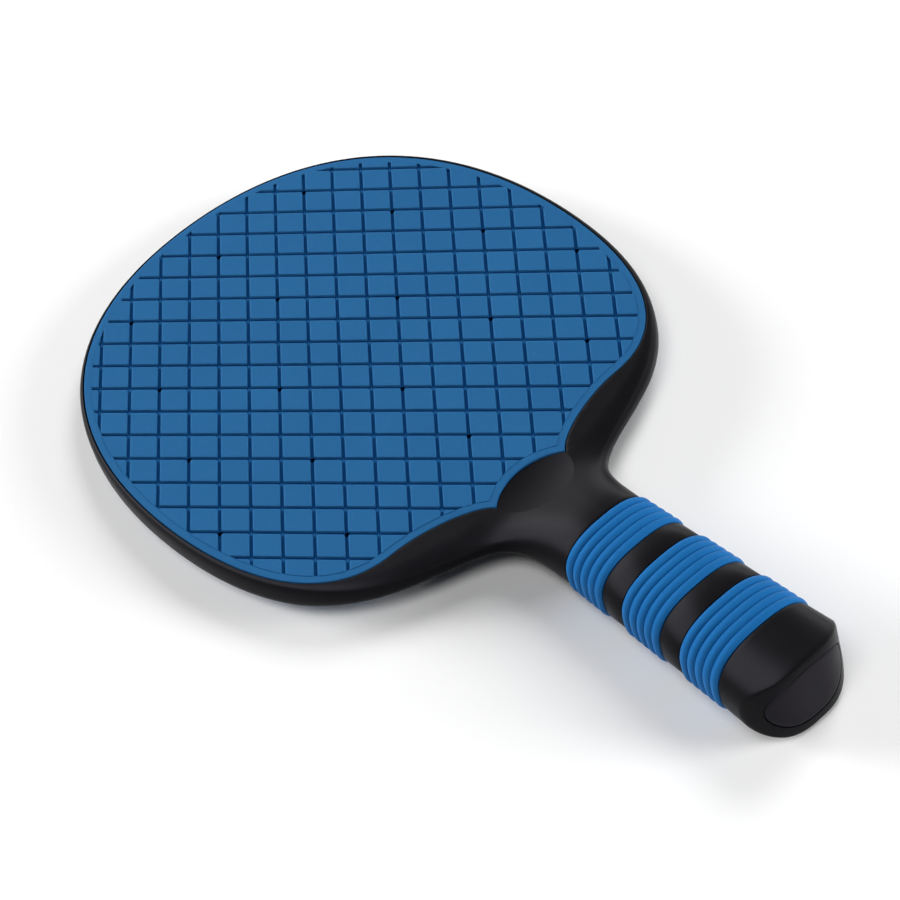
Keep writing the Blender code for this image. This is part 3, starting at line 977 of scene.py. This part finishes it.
@dataclass(frozen=True)
class BandRubber(Rubber):
    """Grip band: painted highlight on the rib crests and painted shade between them."""

    handle: HandleSizes = HandleSizes()
    tone: float = 0.15
    drift_size: float = 0.018
    drift_tone: float = 0.5
    fleck_size: float = 0.0014
    fleck_tone: float = 0.35
    # Painted highlight on the rib crests.
    crest_highlight: float = 0.35
    crest_gloss: float = 0.05
    root_reach: float = 0.16
    # Painted shade in the roots between the ribs.
    root_shade_share: float = 0.40

    def build(self, pose: RestPose) -> bpy.types.Material:
        """Make the material.

        Args:
            pose: how the racket lies.

        Returns:
            The material.
        """
        finish = Finish(self.name, pose)
        nodes = finish.nodes
        _, y, _ = nodes.parts(finish.place)
        step = self.handle.band_width + self.handle.band_gap
        from_band = ((self.handle.band_starts[0] - y) / step).fraction() * step
        phase = from_band * (FULL_TURN / self.handle.rib_pitch)
        crest = 0.5 - 0.5 * phase.cosine()
        drift = finish.noise(self.drift_size, detail=3.0)
        fleck = finish.noise(self.fleck_size, detail=3.0, roughness=0.65)
        tone = (drift - 0.5) * self.drift_tone + (fleck - 0.5) * self.fleck_tone
        # Painted highlight: paler colour on the rib crests.
        tone = tone + crest * self.crest_highlight + self.tone
        colour = nodes.mixed(tone.limited(), self.colour, self.pale)
        # Painted shade: darker colour in the roots between the ribs.
        colour = nodes.mixed(crest.eased(self.root_reach, 0.0) * self.root_shade_share, colour, self.recess_shade)
        roughness = self.roughness + (fleck - 0.5) * self.fleck_swing - crest * self.crest_gloss
        return self.closed(finish, colour, roughness)


# Face sheets


class Face(Enum):
    """The two faces, each with its turn about the racket's length."""

    FRONT = 0.0
    BACK = math.pi

    @property
    def label(self) -> str:
        """The face's name in small letters."""
        return self.name.lower()

    def take(self, piece: bpy.types.Object) -> None:
        """Turn a piece that was made on the front over to this face."""
        piece.data.transform(Matrix.Rotation(self.value, 4, "Y"))


class TileTree(GeometryTree):
    """Geometry tree that lays tiles in a sheet's field and drills the pin holes."""

    INPUTS = {
        "Geometry": ("Sheet",),
        "Object": ("Tile", "Field", "Pegs"),
        "Int": ("Tiles Each Way",),
        "Float": ("Step Across", "Step Along", "Middle Along", "Field Half Width", "Field Half Length"),
    }

    def __init__(self) -> None:
        """Build the tree once, for every sheet."""
        super().__init__("tile_field", self.INPUTS)
        tiles = {"Points": self.lattice(), "Instance": self.helper("Tile")}
        laid = self.add("GeometryNodeInstanceOnPoints", None, tiles)
        solid = self.add("GeometryNodeRealizeInstances", None, {"Geometry": laid})
        trimmed = self.carved("INTERSECT", {"Mesh 2": [self.helper("Field"), solid]})
        pegs = self.helper("Pegs")
        drilled = [
            self.carved("DIFFERENCE", {"Mesh 1": part, "Mesh 2": pegs})
            for part in (trimmed, self.given["Sheet"])
        ]
        self.close(self.add("GeometryNodeJoinGeometry", None, {"Geometry": drilled}))

    def helper(self, name: str) -> Signal:
        """Mesh of the object given under a name."""
        return self.add("GeometryNodeObjectInfo", None, {"Object": self.given[name]}, "Geometry")

    def carved(self, operation: str, meshes: dict) -> Signal:
        """Result of an exact boolean."""
        settings = {"operation": operation, "solver": "EXACT"}
        return self.add("GeometryNodeMeshBoolean", settings, meshes, "Mesh")

    def lattice(self) -> Signal:
        """Middles of the tiles that can reach the sheet's field.

        Returns:
            The points, from a grid whose axes are sheared into the tiles' rows.
        """
        given, each_way = self.given, self.given["Tiles Each Way"]
        span = each_way - 1.0
        grid = self.add(
            "GeometryNodeMeshGrid",
            None,
            {"Size X": span, "Size Y": span, "Vertices X": each_way, "Vertices Y": each_way},
            "Mesh",
        )
        right, left, _ = self.parts(self.add("GeometryNodeInputPosition"))
        x = (right - left) * given["Step Across"]
        y = (right + left) * given["Step Along"] + given["Middle Along"]
        points = self.moved(grid, x, y, 0.0)
        now_x, now_y, _ = self.parts(self.add("GeometryNodeInputPosition"))
        wide = abs(now_x) > given["Field Half Width"]
        outside = wide.most(abs(now_y) > given["Field Half Length"])
        return self.add(
            "GeometryNodeDeleteGeometry", {"domain": "POINT"}, {"Geometry": points, "Selection": outside}
        )


@dataclass
class FaceSheet:
    """One tiled sheet, with its border, tiles, grooves and pin holes."""

    shop: Workshop
    face: Face
    outline: SheetOutline = SheetOutline()
    sizes: SheetSizes = SheetSizes()
    edge_steps: int = 3
    tile_edge_steps: int = 2
    sharp: float = math.radians(30.0)

    def plate(self, name: str) -> bpy.types.Object:
        """Sheet with its border, sunk to the groove floor inside it.

        Args:
            name: the sheet's name.

        Returns:
            The plate.
        """
        s = self.sizes
        border = s.top - s.border_drop
        rounded = quarter_round(s.edge_round, self.edge_steps)
        levels = [(0.0, s.seat), *((inset, border - down) for inset, down in rounded)]
        levels += [(s.border_width, border), (s.border_width, s.groove_floor)]
        loops = [(self.outline.loop(inset), z) for inset, z in levels]
        return self.shop.draft(name, self.shop.prism(loops))

    def tile(self) -> bpy.types.Object:
        """One tile: leaning walls and a rounded top edge, centred on the origin.

        Returns:
            The tile.
        """
        s = self.sizes
        rounded = quarter_round(s.tile_round, self.tile_edge_steps)
        levels = [
            (-s.groove_draft, s.groove_floor - s.embed),
            *((inset, s.top - down) for inset, down in rounded),
            (s.tile_round + s.tile_flat, s.top),
        ]
        loops = [(self.tile_corners(s.groove_width / 2 + inset), z) for inset, z in levels]
        return self.shop.draft("tile", self.shop.prism(loops))

    def tile_corners(self, inset: float) -> list[Vector]:
        """Rhombus of one tile, moved inwards, with its corners cut round.

        Args:
            inset: distance from the middle of the groove.

        Returns:
            Three points for each corner, anticlockwise.
        """
        s = self.sizes
        share = 1 - inset / (s.pitch / 2)
        right, up = Vector((s.step_x, 0)) * share, Vector((0, s.step_y)) * share
        tips = [right, up, -right, -up]
        points = []
        for k, tip in enumerate(tips):
            first, last = (
                tip + (tips[n % 4] - tip).normalized() * s.tile_corner for n in (k - 1, k + 1)
            )
            points += [first, ((first + last) / 2).lerp(tip, s.corner_fullness), last]
        return points

    def field_limit(self) -> bpy.types.Object:
        """Solid that the tiles are trimmed to.

        Returns:
            The solid.
        """
        s = self.sizes
        loop = self.outline.loop(s.border_width - s.field_overlap)
        levels = (s.groove_floor - s.embed / 2, s.top + s.embed)
        return self.shop.draft("field_limit", self.shop.prism([(loop, z) for z in levels]))

    def pegs(self) -> bpy.types.Object:
        """Pegs that drill the pin holes.

        Returns:
            The pegs, as one object.
        """
        s = self.sizes
        builder = bmesh.new()
        for x, y in s.pin_places():
            bmesh.ops.create_cone(
                builder, cap_ends=True, segments=s.pin_sides, radius1=s.pin_radius,
                radius2=s.pin_radius, depth=2 * s.top,
                matrix=Matrix.Translation((x, y, s.top)),
            )
        return self.shop.draft("pin_pegs", builder)

    def build(self, tree: TileTree, material: bpy.types.Material) -> None:
        """Make the sheet and put it in its place.

        Args:
            tree: the tile tree.
            material: the sheet's finish.
        """
        s = self.sizes
        helpers = {"Tile": self.tile(), "Field": self.field_limit(), "Pegs": self.pegs()}
        values = {
            **helpers,
            "Tiles Each Way": 2 * s.reach + 1,
            "Step Across": s.step_x,
            "Step Along": s.step_y,
            "Middle Along": s.mount_y,
            "Field Half Width": self.outline.half_width + s.step_x / 2,
            "Field Half Length": self.outline.tip_reach + s.step_y / 2,
            "Material": material,
        }
        sheet = self.plate(self.face.label + "_tiled_sheet")
        tree.shape(sheet, values)
        self.shop.scrap(list(helpers.values()))
        self.face.take(sheet)
        self.shop.finish(sheet, material, self.face.label + "_face_sheet", "sheet_blue", self.sharp)


# Moulded body


@dataclass
class MouldedBody:
    """The black body: rimmed blade, thumb rests, shoulders and handle."""

    shop: Workshop
    outline: SheetOutline = SheetOutline()
    handle: HandleSizes = HandleSizes()
    rim_reach: float = 0.00184
    rim_tip_reach: float = 0.00152
    rim_half_thickness: float = 0.0042
    rim_round: float = 0.0018
    rim_power: float = 2.8
    shoulder_side_pull: float = 0.0316
    shoulder_out: float = 0.00237
    shoulder_down: float = 0.00777
    shoulder_angle: float = math.radians(23.6)
    shoulder_pull: float = 0.0265
    neck_pull: float = 0.0251
    neck_rise_start: float = -0.0710
    round_start: float = -0.0445
    grip_pull: float = 0.0231
    middle_share: float = 0.7
    least_slant: float = 0.25
    thumb_radius: float = 0.0125
    thumb_centre_up: float = 0.0012
    thumb_floor: float = 0.00377
    thumb_blade_rise: float = 0.00189
    thumb_handle_rise: float = 0.00145
    thumb_side_rise: float = 0.00031
    thumb_bowl: float = 0.0005
    thumb_wall_top: float = 0.0092
    thumb_wall_spread: float = 0.0012
    web_half_thickness: float = 0.0017
    tray_gap: float = 0.0003
    tray_lip: float = 0.00022
    tray_lip_share: float = 0.3
    channel_lip: float = 0.00022
    bore_half_width: float = 0.0133
    bore_half_height: float = 0.0095
    bore_power: float = 2.1
    bore_depth: float = 0.0113
    tip_steps: int = 60
    side_steps: int = 44
    neck_steps: int = 44
    section_steps: int = 35
    rim_steps: int = 20
    lip_steps: int = 2
    butt_steps: int = 12
    butt_edge_steps: int = 4
    thumb_sides: int = 120
    thumb_rings: int = 14
    bore_sides: int = 96
    weld: float = 1e-7
    mirror_weld: float = 1e-5
    sharp: float = math.radians(35.0)

    def half_outline(self) -> list[Vector]:
        """Right half of the widest outline.

        Returns:
            Points from the blade tip to the handle.
        """
        line, handle = self.outline, self.handle
        width = line.half_width + self.rim_reach
        tip = line.tip_reach + self.rim_tip_reach
        widest = Vector((width, 0))
        shoulder = Vector(line.hip) + Vector((self.shoulder_out, -self.shoulder_down))
        slope = Vector((math.cos(self.shoulder_angle), math.sin(self.shoulder_angle)))
        grip = Vector((handle.start_half_width, handle.start))
        below = widest - Vector((0, self.shoulder_side_pull))
        above = grip + Vector((0, self.grip_pull))
        points = blade_end(width, tip, line.fullness, self.tip_steps)
        outer, inner = shoulder + slope * self.shoulder_pull, shoulder - slope * self.neck_pull
        points += bezier(widest, below, outer, shoulder, self.side_steps)
        points += bezier(shoulder, inner, above, grip, self.neck_steps)
        return [*points, grip]

    def blade_row(self, edge: Vector, normal: Vector) -> list[Vector]:
        """Points of the top surface from the outline to the middle line.

        Args:
            edge: the point on the outline.
            normal: the outline's outward normal there.

        Returns:
            The row, from the mid-plane up and inwards.
        """
        handle = self.handle
        middle = Vector((0.0, edge.y * self.middle_share if edge.y > 0 else edge.y))
        inward = middle - edge
        length = inward.length
        inward.normalize()
        rise = smooth_step((self.neck_rise_start - edge.y) / (self.neck_rise_start - handle.start))
        bulge = smooth_step((self.round_start - edge.y) / (self.round_start - handle.start))
        height = self.rim_half_thickness + (handle.start_half_thickness - self.rim_half_thickness) * rise
        power = self.rim_power + (handle.power - self.rim_power) * bulge
        reach = self.rim_round + (handle.start_half_width - self.rim_round) * bulge
        rounding = min(reach / max(-normal.dot(inward), self.least_slant), length)
        flat_steps = round((self.section_steps - self.rim_steps) * (1 - rise))
        curved = self.section_steps - flat_steps
        row = []
        for k in range(self.section_steps + 1):
            if k <= curved:
                share, up = oval_point(1.0, height, power, QUARTER_TURN * k / curved)
                distance = rounding * (1 - share)
            else:
                share = (k - curved) / flat_steps
                distance = rounding + (length - rounding) * share
                up = height
            place = edge + inward * distance
            row.append(Vector((place.x, place.y, up)))
        row[-1].x = 0.0
        return row

    def handle_row(self, y: float, sink: float, bend: float) -> list[Vector]:
        """Quarter section of the handle.

        Args:
            y: station along the racket.
            sink: depth below the handle's surface.
            bend: share of the rounded end's fall that the section takes.

        Returns:
            The row.
        """
        half_width, half_thickness = self.handle.section(y)
        row = []
        for k in range(self.section_steps + 1):
            angle = QUARTER_TURN * k / self.section_steps
            x, z = oval_point(half_width - sink, half_thickness - sink, self.handle.power, angle)
            row.append(Vector((x, y + bend * self.handle.butt_fall(x), z)))
        return row

    def rows(self) -> list[list[Vector]]:
        """Rows of the upper right quarter.

        Returns:
            The rows, from the blade tip to the handle end.
        """
        handle = self.handle
        outline = self.half_outline()
        rows = [self.blade_row(edge, normal) for edge, normal in zip(outline, outline_normals(outline))]
        mouth = [(out, sink) for sink, out in quarter_round(self.channel_lip, self.lip_steps)]
        mouth.append((0.0, handle.channel_depth))
        for start in handle.band_starts:
            end = start - handle.band_width
            rows += [self.handle_row(start + out, sink, 0.0) for out, sink in mouth]
            rows += [self.handle_row(end - out, sink, 0.0) for out, sink in mouth[::-1]]
        run = handle.end + handle.butt_edge - end
        for k in range(1, self.butt_steps):
            share = k / self.butt_steps
            rows.append(self.handle_row(end + run * share, 0.0, share))
        for sink, fall in quarter_round(handle.butt_edge, self.butt_edge_steps):
            rows.append(self.handle_row(handle.end + fall, sink, 1.0))
        rows.append([Vector((point.x, point.y, 0.0)) for point in rows[-1]])
        return rows

    def quarter(self) -> bmesh.types.BMesh:
        """Skin the rows of the upper right quarter.

        Returns:
            The quarter's open skin, facing outwards.
        """
        builder = bmesh.new()
        rings = [[builder.verts.new(point) for point in row] for row in self.rows()]
        for first, second in zip(rings, rings[1:]):
            for k in range(self.section_steps):
                builder.faces.new((first[k], second[k], second[k + 1], first[k + 1]))
        bmesh.ops.remove_doubles(builder, verts=builder.verts, dist=self.weld)
        bmesh.ops.recalc_face_normals(builder, faces=builder.faces)
        above = self.rim_half_thickness / 2
        upper = next(face for face in builder.faces if face.calc_center_median().z > above)
        if upper.normal.z < 0:
            bmesh.ops.reverse_faces(builder, faces=builder.faces)
        return builder

    def tray_tool(self, face: Face) -> bpy.types.Object:
        """Tool for the tray that holds a sheet, with a softened mouth.

        Args:
            face: the face that the tray is in.

        Returns:
            The tool.
        """
        lip, gap, rim = self.tray_lip, self.tray_gap, self.rim_half_thickness
        soft = lip * self.tray_lip_share
        levels = [
            (-gap, self.web_half_thickness),
            (-gap, rim - lip),
            (-gap - soft, rim - soft),
            (-gap - lip, rim),
            (-gap - lip, 2 * rim),
        ]
        loops = [(self.outline.loop(inset), z) for inset, z in levels]
        tool = self.shop.draft("tray_" + face.label, self.shop.prism(loops))
        face.take(tool)
        return tool

    def dish_point(self, centre: Vector, share: float, angle: float) -> Vector:
        """Point of the thumb rest's floor.

        Args:
            centre: the dish's middle.
            share: distance from it as a share of the dish's radius.
            angle: direction, from +Y towards +X.

        Returns:
            The point.
        """
        across, along = math.sin(angle) * share, math.cos(angle) * share
        rise = (self.thumb_blade_rise + self.thumb_handle_rise) / 2 * along**2
        rise += (self.thumb_blade_rise - self.thumb_handle_rise) / 2 * along
        rise += self.thumb_side_rise * across**2 - self.thumb_bowl * (1 - share**2)
        spot = Vector((across * self.thumb_radius, along * self.thumb_radius, self.thumb_floor + rise))
        return centre + spot

    def thumb_tool(self, face: Face) -> bpy.types.Object:
        """Tool for a thumb rest: a shallow dish with a leaning wall.

        Args:
            face: the face that the thumb rest is in.

        Returns:
            The tool.
        """
        centre = Vector((0.0, self.outline.cusp[1] + self.thumb_centre_up, 0.0))
        mouth = centre + Vector((0.0, 0.0, self.thumb_wall_top))
        wide = self.thumb_radius + self.thumb_wall_spread
        angles = [FULL_TURN * n / self.thumb_sides for n in range(self.thumb_sides)]
        shares = [k / self.thumb_rings for k in range(1, self.thumb_rings + 1)]
        rings = [[self.dish_point(centre, share, angle) for angle in angles] for share in shares]
        rings.append([mouth + Vector((math.sin(angle), math.cos(angle), 0.0)) * wide for angle in angles])
        builder = bmesh.new()
        middle = builder.verts.new(self.dish_point(centre, 0.0, 0.0))
        made = [[builder.verts.new(point) for point in ring] for ring in rings]
        for n in range(self.thumb_sides):
            m = (n + 1) % self.thumb_sides
            builder.faces.new((middle, made[0][n], made[0][m]))
            for inner, outer in zip(made, made[1:]):
                builder.faces.new((inner[n], outer[n], outer[m], inner[m]))
        builder.faces.new(made[-1])
        bmesh.ops.recalc_face_normals(builder, faces=builder.faces)
        tool = self.shop.draft("thumb_" + face.label, builder)
        face.take(tool)
        return tool

    def bore_tool(self) -> bpy.types.Object:
        """Tool for the seat of the end plug.

        Returns:
            The tool.
        """
        handle = self.handle
        oval = oval_ring(self.bore_half_width, self.bore_half_height, self.bore_power, self.bore_sides)
        stations = (handle.end - handle.butt_edge, handle.end + self.bore_depth)
        rings = [[Vector((x, y, z)) for x, z in oval] for y in stations]
        return self.shop.draft("plug_seat", self.shop.loft(rings))

    def build(self, material: bpy.types.Material) -> None:
        """Make the body and put it in its place.

        Args:
            material: the body's finish.
        """
        body = self.shop.draft("body_shell", self.quarter())
        mirror = body.modifiers.new("halves", "MIRROR")
        mirror.use_axis = (True, False, True)
        mirror.use_clip = True
        mirror.merge_threshold = self.mirror_weld
        tools = [make(face) for face in Face for make in (self.tray_tool, self.thumb_tool)]
        self.shop.cut(body, tools + [self.bore_tool()])
        self.shop.finish(body, material, "moulded_body", "body_black", self.sharp)


# Grip bands


class BandTree(GeometryTree):
    """Geometry tree that rolls a ribbed band round the oval handle.

    Its grid has a row for each place along the band. The first row and the two last
    ones lie on the seat, and the last closes the band where it began.
    """

    WELD = 2e-6
    INPUTS = {
        "Int": ("Points Around", "Points Along"),
        "Float": (
            "Start", "Length", "Ribs", "Rib Proud", "Rib Depth", "Crest Fullness", "Seat Depth",
            "Half Width", "Half Thickness", "Width Slope", "Thickness Slope", "Oval Power",
        ),
    }

    def __init__(self) -> None:
        """Build the tree once, for every band."""
        super().__init__("ribbed_band", self.INPUTS)
        given = self.given
        last = given["Points Along"] - 1.0
        sides = {
            "Size X": 1.0,
            "Size Y": 1.0,
            "Vertices X": given["Points Around"] + 1.0,
            "Vertices Y": given["Points Along"],
        }
        grid = self.add("GeometryNodeMeshGrid", None, sides, "Mesh")
        across, along, _ = self.parts(self.add("GeometryNodeInputPosition"))
        angle = (across + 0.5) * FULL_TURN
        share, offset = self.profile((along + 0.5) * last, last)
        travelled = share * given["Length"]
        width = given["Half Width"] + travelled * given["Width Slope"] + offset
        thickness = given["Half Thickness"] + travelled * given["Thickness Slope"] + offset
        x, z = self.oval(width, angle.cosine()), self.oval(thickness, angle.sine())
        rolled = self.moved(grid, x, given["Start"] - travelled, z)
        weld = {"Geometry": rolled, "Distance": self.WELD}
        self.close(self.add("GeometryNodeMergeByDistance", None, weld))

    def profile(self, row: Signal, last: Signal) -> tuple[Signal, Signal]:
        """Section of the band, from one edge over the ribs and back along the seat.

        Args:
            row: number of the grid's row.
            last: number of the last row.

        Returns:
            Share of the band's length, and height over the handle's surface.
        """
        given = self.given
        closing = row > (last - 0.5)
        seated = (row < 0.5).most(row > (last - 1.5))
        share = ((row - 1.0) / (last - 3.0)).limited() * (1.0 - closing)
        wave = (0.5 - 0.5 * (share * given["Ribs"] * FULL_TURN).cosine()).most(0.0)
        height = given["Rib Proud"] - given["Rib Depth"] * (1.0 - wave ** given["Crest Fullness"])
        return share, seated.switched(height, given["Seat Depth"] * -1.0)

    def oval(self, reach: Signal, turned: Signal) -> Signal:
        """One coordinate of the rounded-box oval, from the angle's cosine or sine."""
        return reach * turned.sign() * abs(turned) ** (2.0 / self.given["Oval Power"])


@dataclass
class GripBands:
    """The ribbed rubber bands round the handle."""

    shop: Workshop
    handle: HandleSizes = HandleSizes()
    gap: float = 0.0003
    rib_proud: float = 0.0006
    rib_depth: float = 0.0006
    crest_fullness: float = 0.45
    points_around: int = 128
    points_per_rib: int = 14
    extra_points: int = 4
    sharp: float = math.radians(50.0)

    def build(self, tree: BandTree, material: bpy.types.Material) -> None:
        """Make every band and put it in its place.

        Args:
            tree: the band tree.
            material: the bands' finish.
        """
        handle = self.handle
        run = handle.end - handle.start
        shared = {
            "Points Around": self.points_around,
            "Points Along": handle.rib_count * self.points_per_rib + self.extra_points,
            "Length": handle.band_width - 2 * self.gap,
            "Ribs": float(handle.rib_count),
            "Rib Proud": self.rib_proud,
            "Rib Depth": self.rib_depth,
            "Crest Fullness": self.crest_fullness,
            "Seat Depth": handle.channel_depth - self.gap,
            "Width Slope": -(handle.end_half_width - handle.start_half_width) / run,
            "Thickness Slope": -(handle.end_half_thickness - handle.start_half_thickness) / run,
            "Oval Power": handle.power,
            "Material": material,
        }
        for number, channel in enumerate(handle.band_starts, 1):
            start = channel - self.gap
            half_width, half_thickness = handle.section(start)
            own = {"Start": start, "Half Width": half_width, "Half Thickness": half_thickness}
            band = self.shop.draft("ribbed_band_%d" % number, bmesh.new())
            tree.shape(band, shared | own)
            self.shop.finish(band, material, "grip_band_%d" % number, "band_blue", self.sharp)


# End plug


@dataclass
class EndPlug:
    """Cup-shaped plug that closes the handle, its face flush with the rounded end."""

    shop: Workshop
    handle: HandleSizes = HandleSizes()
    half_width: float = 0.0130
    half_height: float = 0.0092
    power: float = 2.1
    depth: float = 0.0110
    face: float = 0.0024
    wall: float = 0.0018
    edge_round: float = 0.0003
    edge_steps: int = 3
    points: int = 96
    cover_rings: int = 10
    sharp: float = math.radians(35.0)

    def ring(
        self, share: float, inset: float, sink: float = 0.0, station: float | None = None
    ) -> list[Vector]:
        """One ring of the plug.

        Args:
            share: size against the full oval.
            inset: distance inwards from the oval.
            sink: depth below the rounded end.
            station: place along the handle, or None to follow the rounded end.

        Returns:
            The ring's points.
        """
        half_width, half_height = (self.half_width - inset) * share, (self.half_height - inset) * share
        ring = []
        for x, z in oval_ring(half_width, half_height, self.power, self.points):
            y = self.handle.end + self.handle.butt_fall(x) + sink if station is None else station
            ring.append(Vector((x, y, z)))
        return ring

    def build(self, material: bpy.types.Material) -> None:
        """Make the plug and put it in its place.

        Args:
            material: the plug's finish.
        """
        rim = self.handle.end + self.depth
        cover = [k / self.cover_rings for k in range(1, self.cover_rings + 1)]
        rings = [self.ring(share, self.edge_round) for share in cover]
        for sink, inset in quarter_round(self.edge_round, self.edge_steps)[1:]:
            rings.append(self.ring(1.0, inset, sink))
        rings += [self.ring(1.0, inset, station=rim) for inset in (0.0, self.wall)]
        rings += [self.ring(share, self.wall, self.face) for share in cover[::-1]]
        plug = self.shop.draft("end_plug", self.shop.loft(rings))
        self.shop.finish(plug, material, "handle_end_plug", "plug_black", self.sharp)


# Studio


@dataclass(frozen=True)
class SoftLight:
    """A round softbox, aimed at the racket."""

    name: str
    azimuth: float
    elevation: float
    power: float
    distance: float = 3.0
    width: float = 1.5

    def hang(self) -> None:
        """Put the lamp up, out of sight of the racket's gloss."""
        lamp = bpy.data.lights.new(self.name, "AREA")
        lamp.shape = "DISK"
        lamp.size = self.width
        lamp.energy = self.power
        made = bpy.data.objects.new(self.name, lamp)
        way = Vector((math.cos(self.azimuth), math.sin(self.azimuth), math.tan(self.elevation)))
        made.location = way.normalized() * self.distance
        made.rotation_euler = (-way).to_track_quat("-Z", "Y").to_euler()
        made.visible_glossy = False
        bpy.context.scene.collection.objects.link(made)
        LOG.info("%s: %.1f W", self.name, self.power)


@dataclass(frozen=True)
class PhotoCamera:
    """Camera at the photograph's viewing angle, measured in the racket frame."""

    place: tuple[float, float, float] = (-0.2792462, -0.5597559, 0.6165635)
    right: tuple[float, float, float] = (0.7363838, -0.6422096, -0.2128514)
    down: tuple[float, float, float] = (-0.5949325, -0.4648428, -0.6557259)
    lens: float = 126.5144
    sensor: float = 36.0
    nearest: float = 0.01
    farthest: float = 20.0

    def set_up(self, pose: RestPose) -> None:
        """Make the scene's camera.

        Args:
            pose: how the racket lies.
        """
        camera = bpy.data.cameras.new("photo_camera")
        camera.lens = self.lens
        camera.sensor_width = self.sensor
        camera.sensor_fit = "HORIZONTAL"
        camera.clip_start = self.nearest
        camera.clip_end = self.farthest
        right = Vector(self.right).normalized()
        up = -Vector(self.down)
        up = (up - right * up.dot(right)).normalized()
        turn = Matrix((right, up, right.cross(up))).transposed().to_4x4()
        made = bpy.data.objects.new("photo_camera", camera)
        made.matrix_world = pose.matrix() @ Matrix.Translation(self.place) @ turn
        bpy.context.scene.collection.objects.link(made)
        bpy.context.scene.camera = made


@dataclass(frozen=True)
class Studio:
    """White table, pale surroundings and soft lights.

    The sky's limits are shares of a ray's unit length: how far it points to the
    panel's side, or how steeply it rises.
    """

    floor_size: float = 6.0
    floor_cells: int = 8
    floor_drop: float = 0.00005
    floor_grey: float = 0.93
    sky_dark: float = 0.06
    low_strength: float = 2.8
    low_rise: tuple[float, float] = (0.33, 0.05)
    low_side: tuple[float, float] = (0.1, -0.2)
    panel_strength: float = 7.5
    panel_rise: tuple[float, float] = (0.0, 0.55)
    panel_side: tuple[float, float] = (0.03, 0.33)
    panel_way: tuple[float, float, float] = (-0.884, 0.467, 0.0)
    camera: PhotoCamera = PhotoCamera()
    lights: tuple[SoftLight, ...] = (
        SoftLight("far_left_softbox", math.radians(122), math.radians(15), 100.0),
        SoftLight("near_right_softbox", math.radians(-48), math.radians(15), 90.0),
        SoftLight("far_right_softbox", math.radians(17), math.radians(45), 38.0),
        SoftLight("top_softbox", math.radians(-148), math.radians(68), 31.0),
    )

    def floor(self) -> None:
        """Pale table top that keeps the racket's shadow."""
        builder = bmesh.new()
        cells = self.floor_cells
        bmesh.ops.create_grid(builder, x_segments=cells, y_segments=cells, size=self.floor_size / 2)
        table = Workshop.draft("table_top", builder)
        table.data.transform(Matrix.Translation((0.0, 0.0, -self.floor_drop)))
        material = bpy.data.materials.new("table_white")
        material.use_nodes = True
        nodes = NodeTree(material.node_tree)
        grey = (self.floor_grey, self.floor_grey, self.floor_grey, 1.0)
        lit = nodes.add("ShaderNodeBsdfDiffuse", None, {"Color": grey})
        nodes.node("ShaderNodeOutputMaterial", None, {"Surface": lit})
        table.data.materials.append(material)

    def surroundings(self) -> None:
        """White for camera and see-through rays, a panel and a low band more for gloss, else dim."""
        world = bpy.data.worlds.new("studio")
        world.use_nodes = True
        nodes = NodeTree(world.node_tree)
        path = nodes.node("ShaderNodeLightPath")
        camera, gloss, through = (
            Signal(nodes, path.outputs[name])
            for name in ("Is Camera Ray", "Is Glossy Ray", "Is Transmission Ray")
        )
        ray = nodes.add("ShaderNodeTexCoord", None, None, "Generated")
        towards = {0: ray, 1: self.panel_way}
        side = nodes.add("ShaderNodeVectorMath", {"operation": "DOT_PRODUCT"}, towards, "Value")
        _, _, height = nodes.parts(ray)
        panel = side.eased(*self.panel_side) * height.eased(*self.panel_rise) * self.panel_strength
        low = height.eased(*self.low_rise) * side.eased(*self.low_side) * self.low_strength
        white, dim = (
            nodes.add("ShaderNodeBackground", None, {"Color": WHITE, "Strength": strength})
            for strength in (1.0 + gloss * (panel + low), self.sky_dark)
        )
        seen = camera.most(gloss).most(through)
        sky = nodes.add("ShaderNodeMixShader", None, {0: seen, 1: dim, 2: white})
        nodes.node("ShaderNodeOutputWorld", None, {"Surface": sky})
        bpy.context.scene.world = world

    def build(self, pose: RestPose) -> None:
        """Set the whole stage.

        Args:
            pose: how the racket lies.
        """
        self.floor()
        self.surroundings()
        for light in self.lights:
            light.hang()
        self.camera.set_up(pose)
        bpy.context.scene.view_settings.view_transform = "Standard"


def main() -> None:
    """Build the racket and its stage."""
    logging.basicConfig(level=logging.INFO, format="%(name)s %(message)s")
    sizes, handle = SheetSizes(), HandleSizes()
    pose = RestPose.from_record(frame["record"], sizes.mount_y)
    shop = Workshop(pose)
    body_black = MouldedPlastic(
        "body_black",
        colour=(0.0020, 0.0020, 0.0025, 1.0),
        tint=(0.0031, 0.0030, 0.0038, 1.0),
        roughness=0.34,
        specular=0.050,
    )
    plug_black = MouldedPlastic(
        "plug_black",
        colour=(0.0038, 0.0030, 0.0050, 1.0),
        tint=(0.0055, 0.0045, 0.0072, 1.0),
        roughness=0.40,
        specular=0.072,
    )
    sheet_blue = TileRubber(
        "sheet_blue",
        colour=(0.0160, 0.0912, 0.2270, 1.0),
        pale=(0.0230, 0.1250, 0.2890, 1.0),
        # Painted shade colour for the grooves.
        recess_shade=(0.0004, 0.0370, 0.1450, 1.0),
        roughness=0.62,
        sizes=sizes,
    )
    band_blue = BandRubber(
        "band_blue",
        colour=(0.0084, 0.0955, 0.2780, 1.0),
        pale=(0.0130, 0.1300, 0.3560, 1.0),
        # Painted shade colour between the ribs.
        recess_shade=(0.0022, 0.0500, 0.1700, 1.0),
        roughness=0.55,
        handle=handle,
    )
    MouldedBody(shop, handle=handle).build(body_black.build(pose))
    tiles, sheet_finish = TileTree(), sheet_blue.build(pose)
    for face in Face:
        FaceSheet(shop, face, sizes=sizes).build(tiles, sheet_finish)
    GripBands(shop, handle).build(BandTree(), band_blue.build(pose))
    EndPlug(shop, handle).build(plug_black.build(pose))
    Studio().build(pose)


if __name__ == "__main__":
    main()
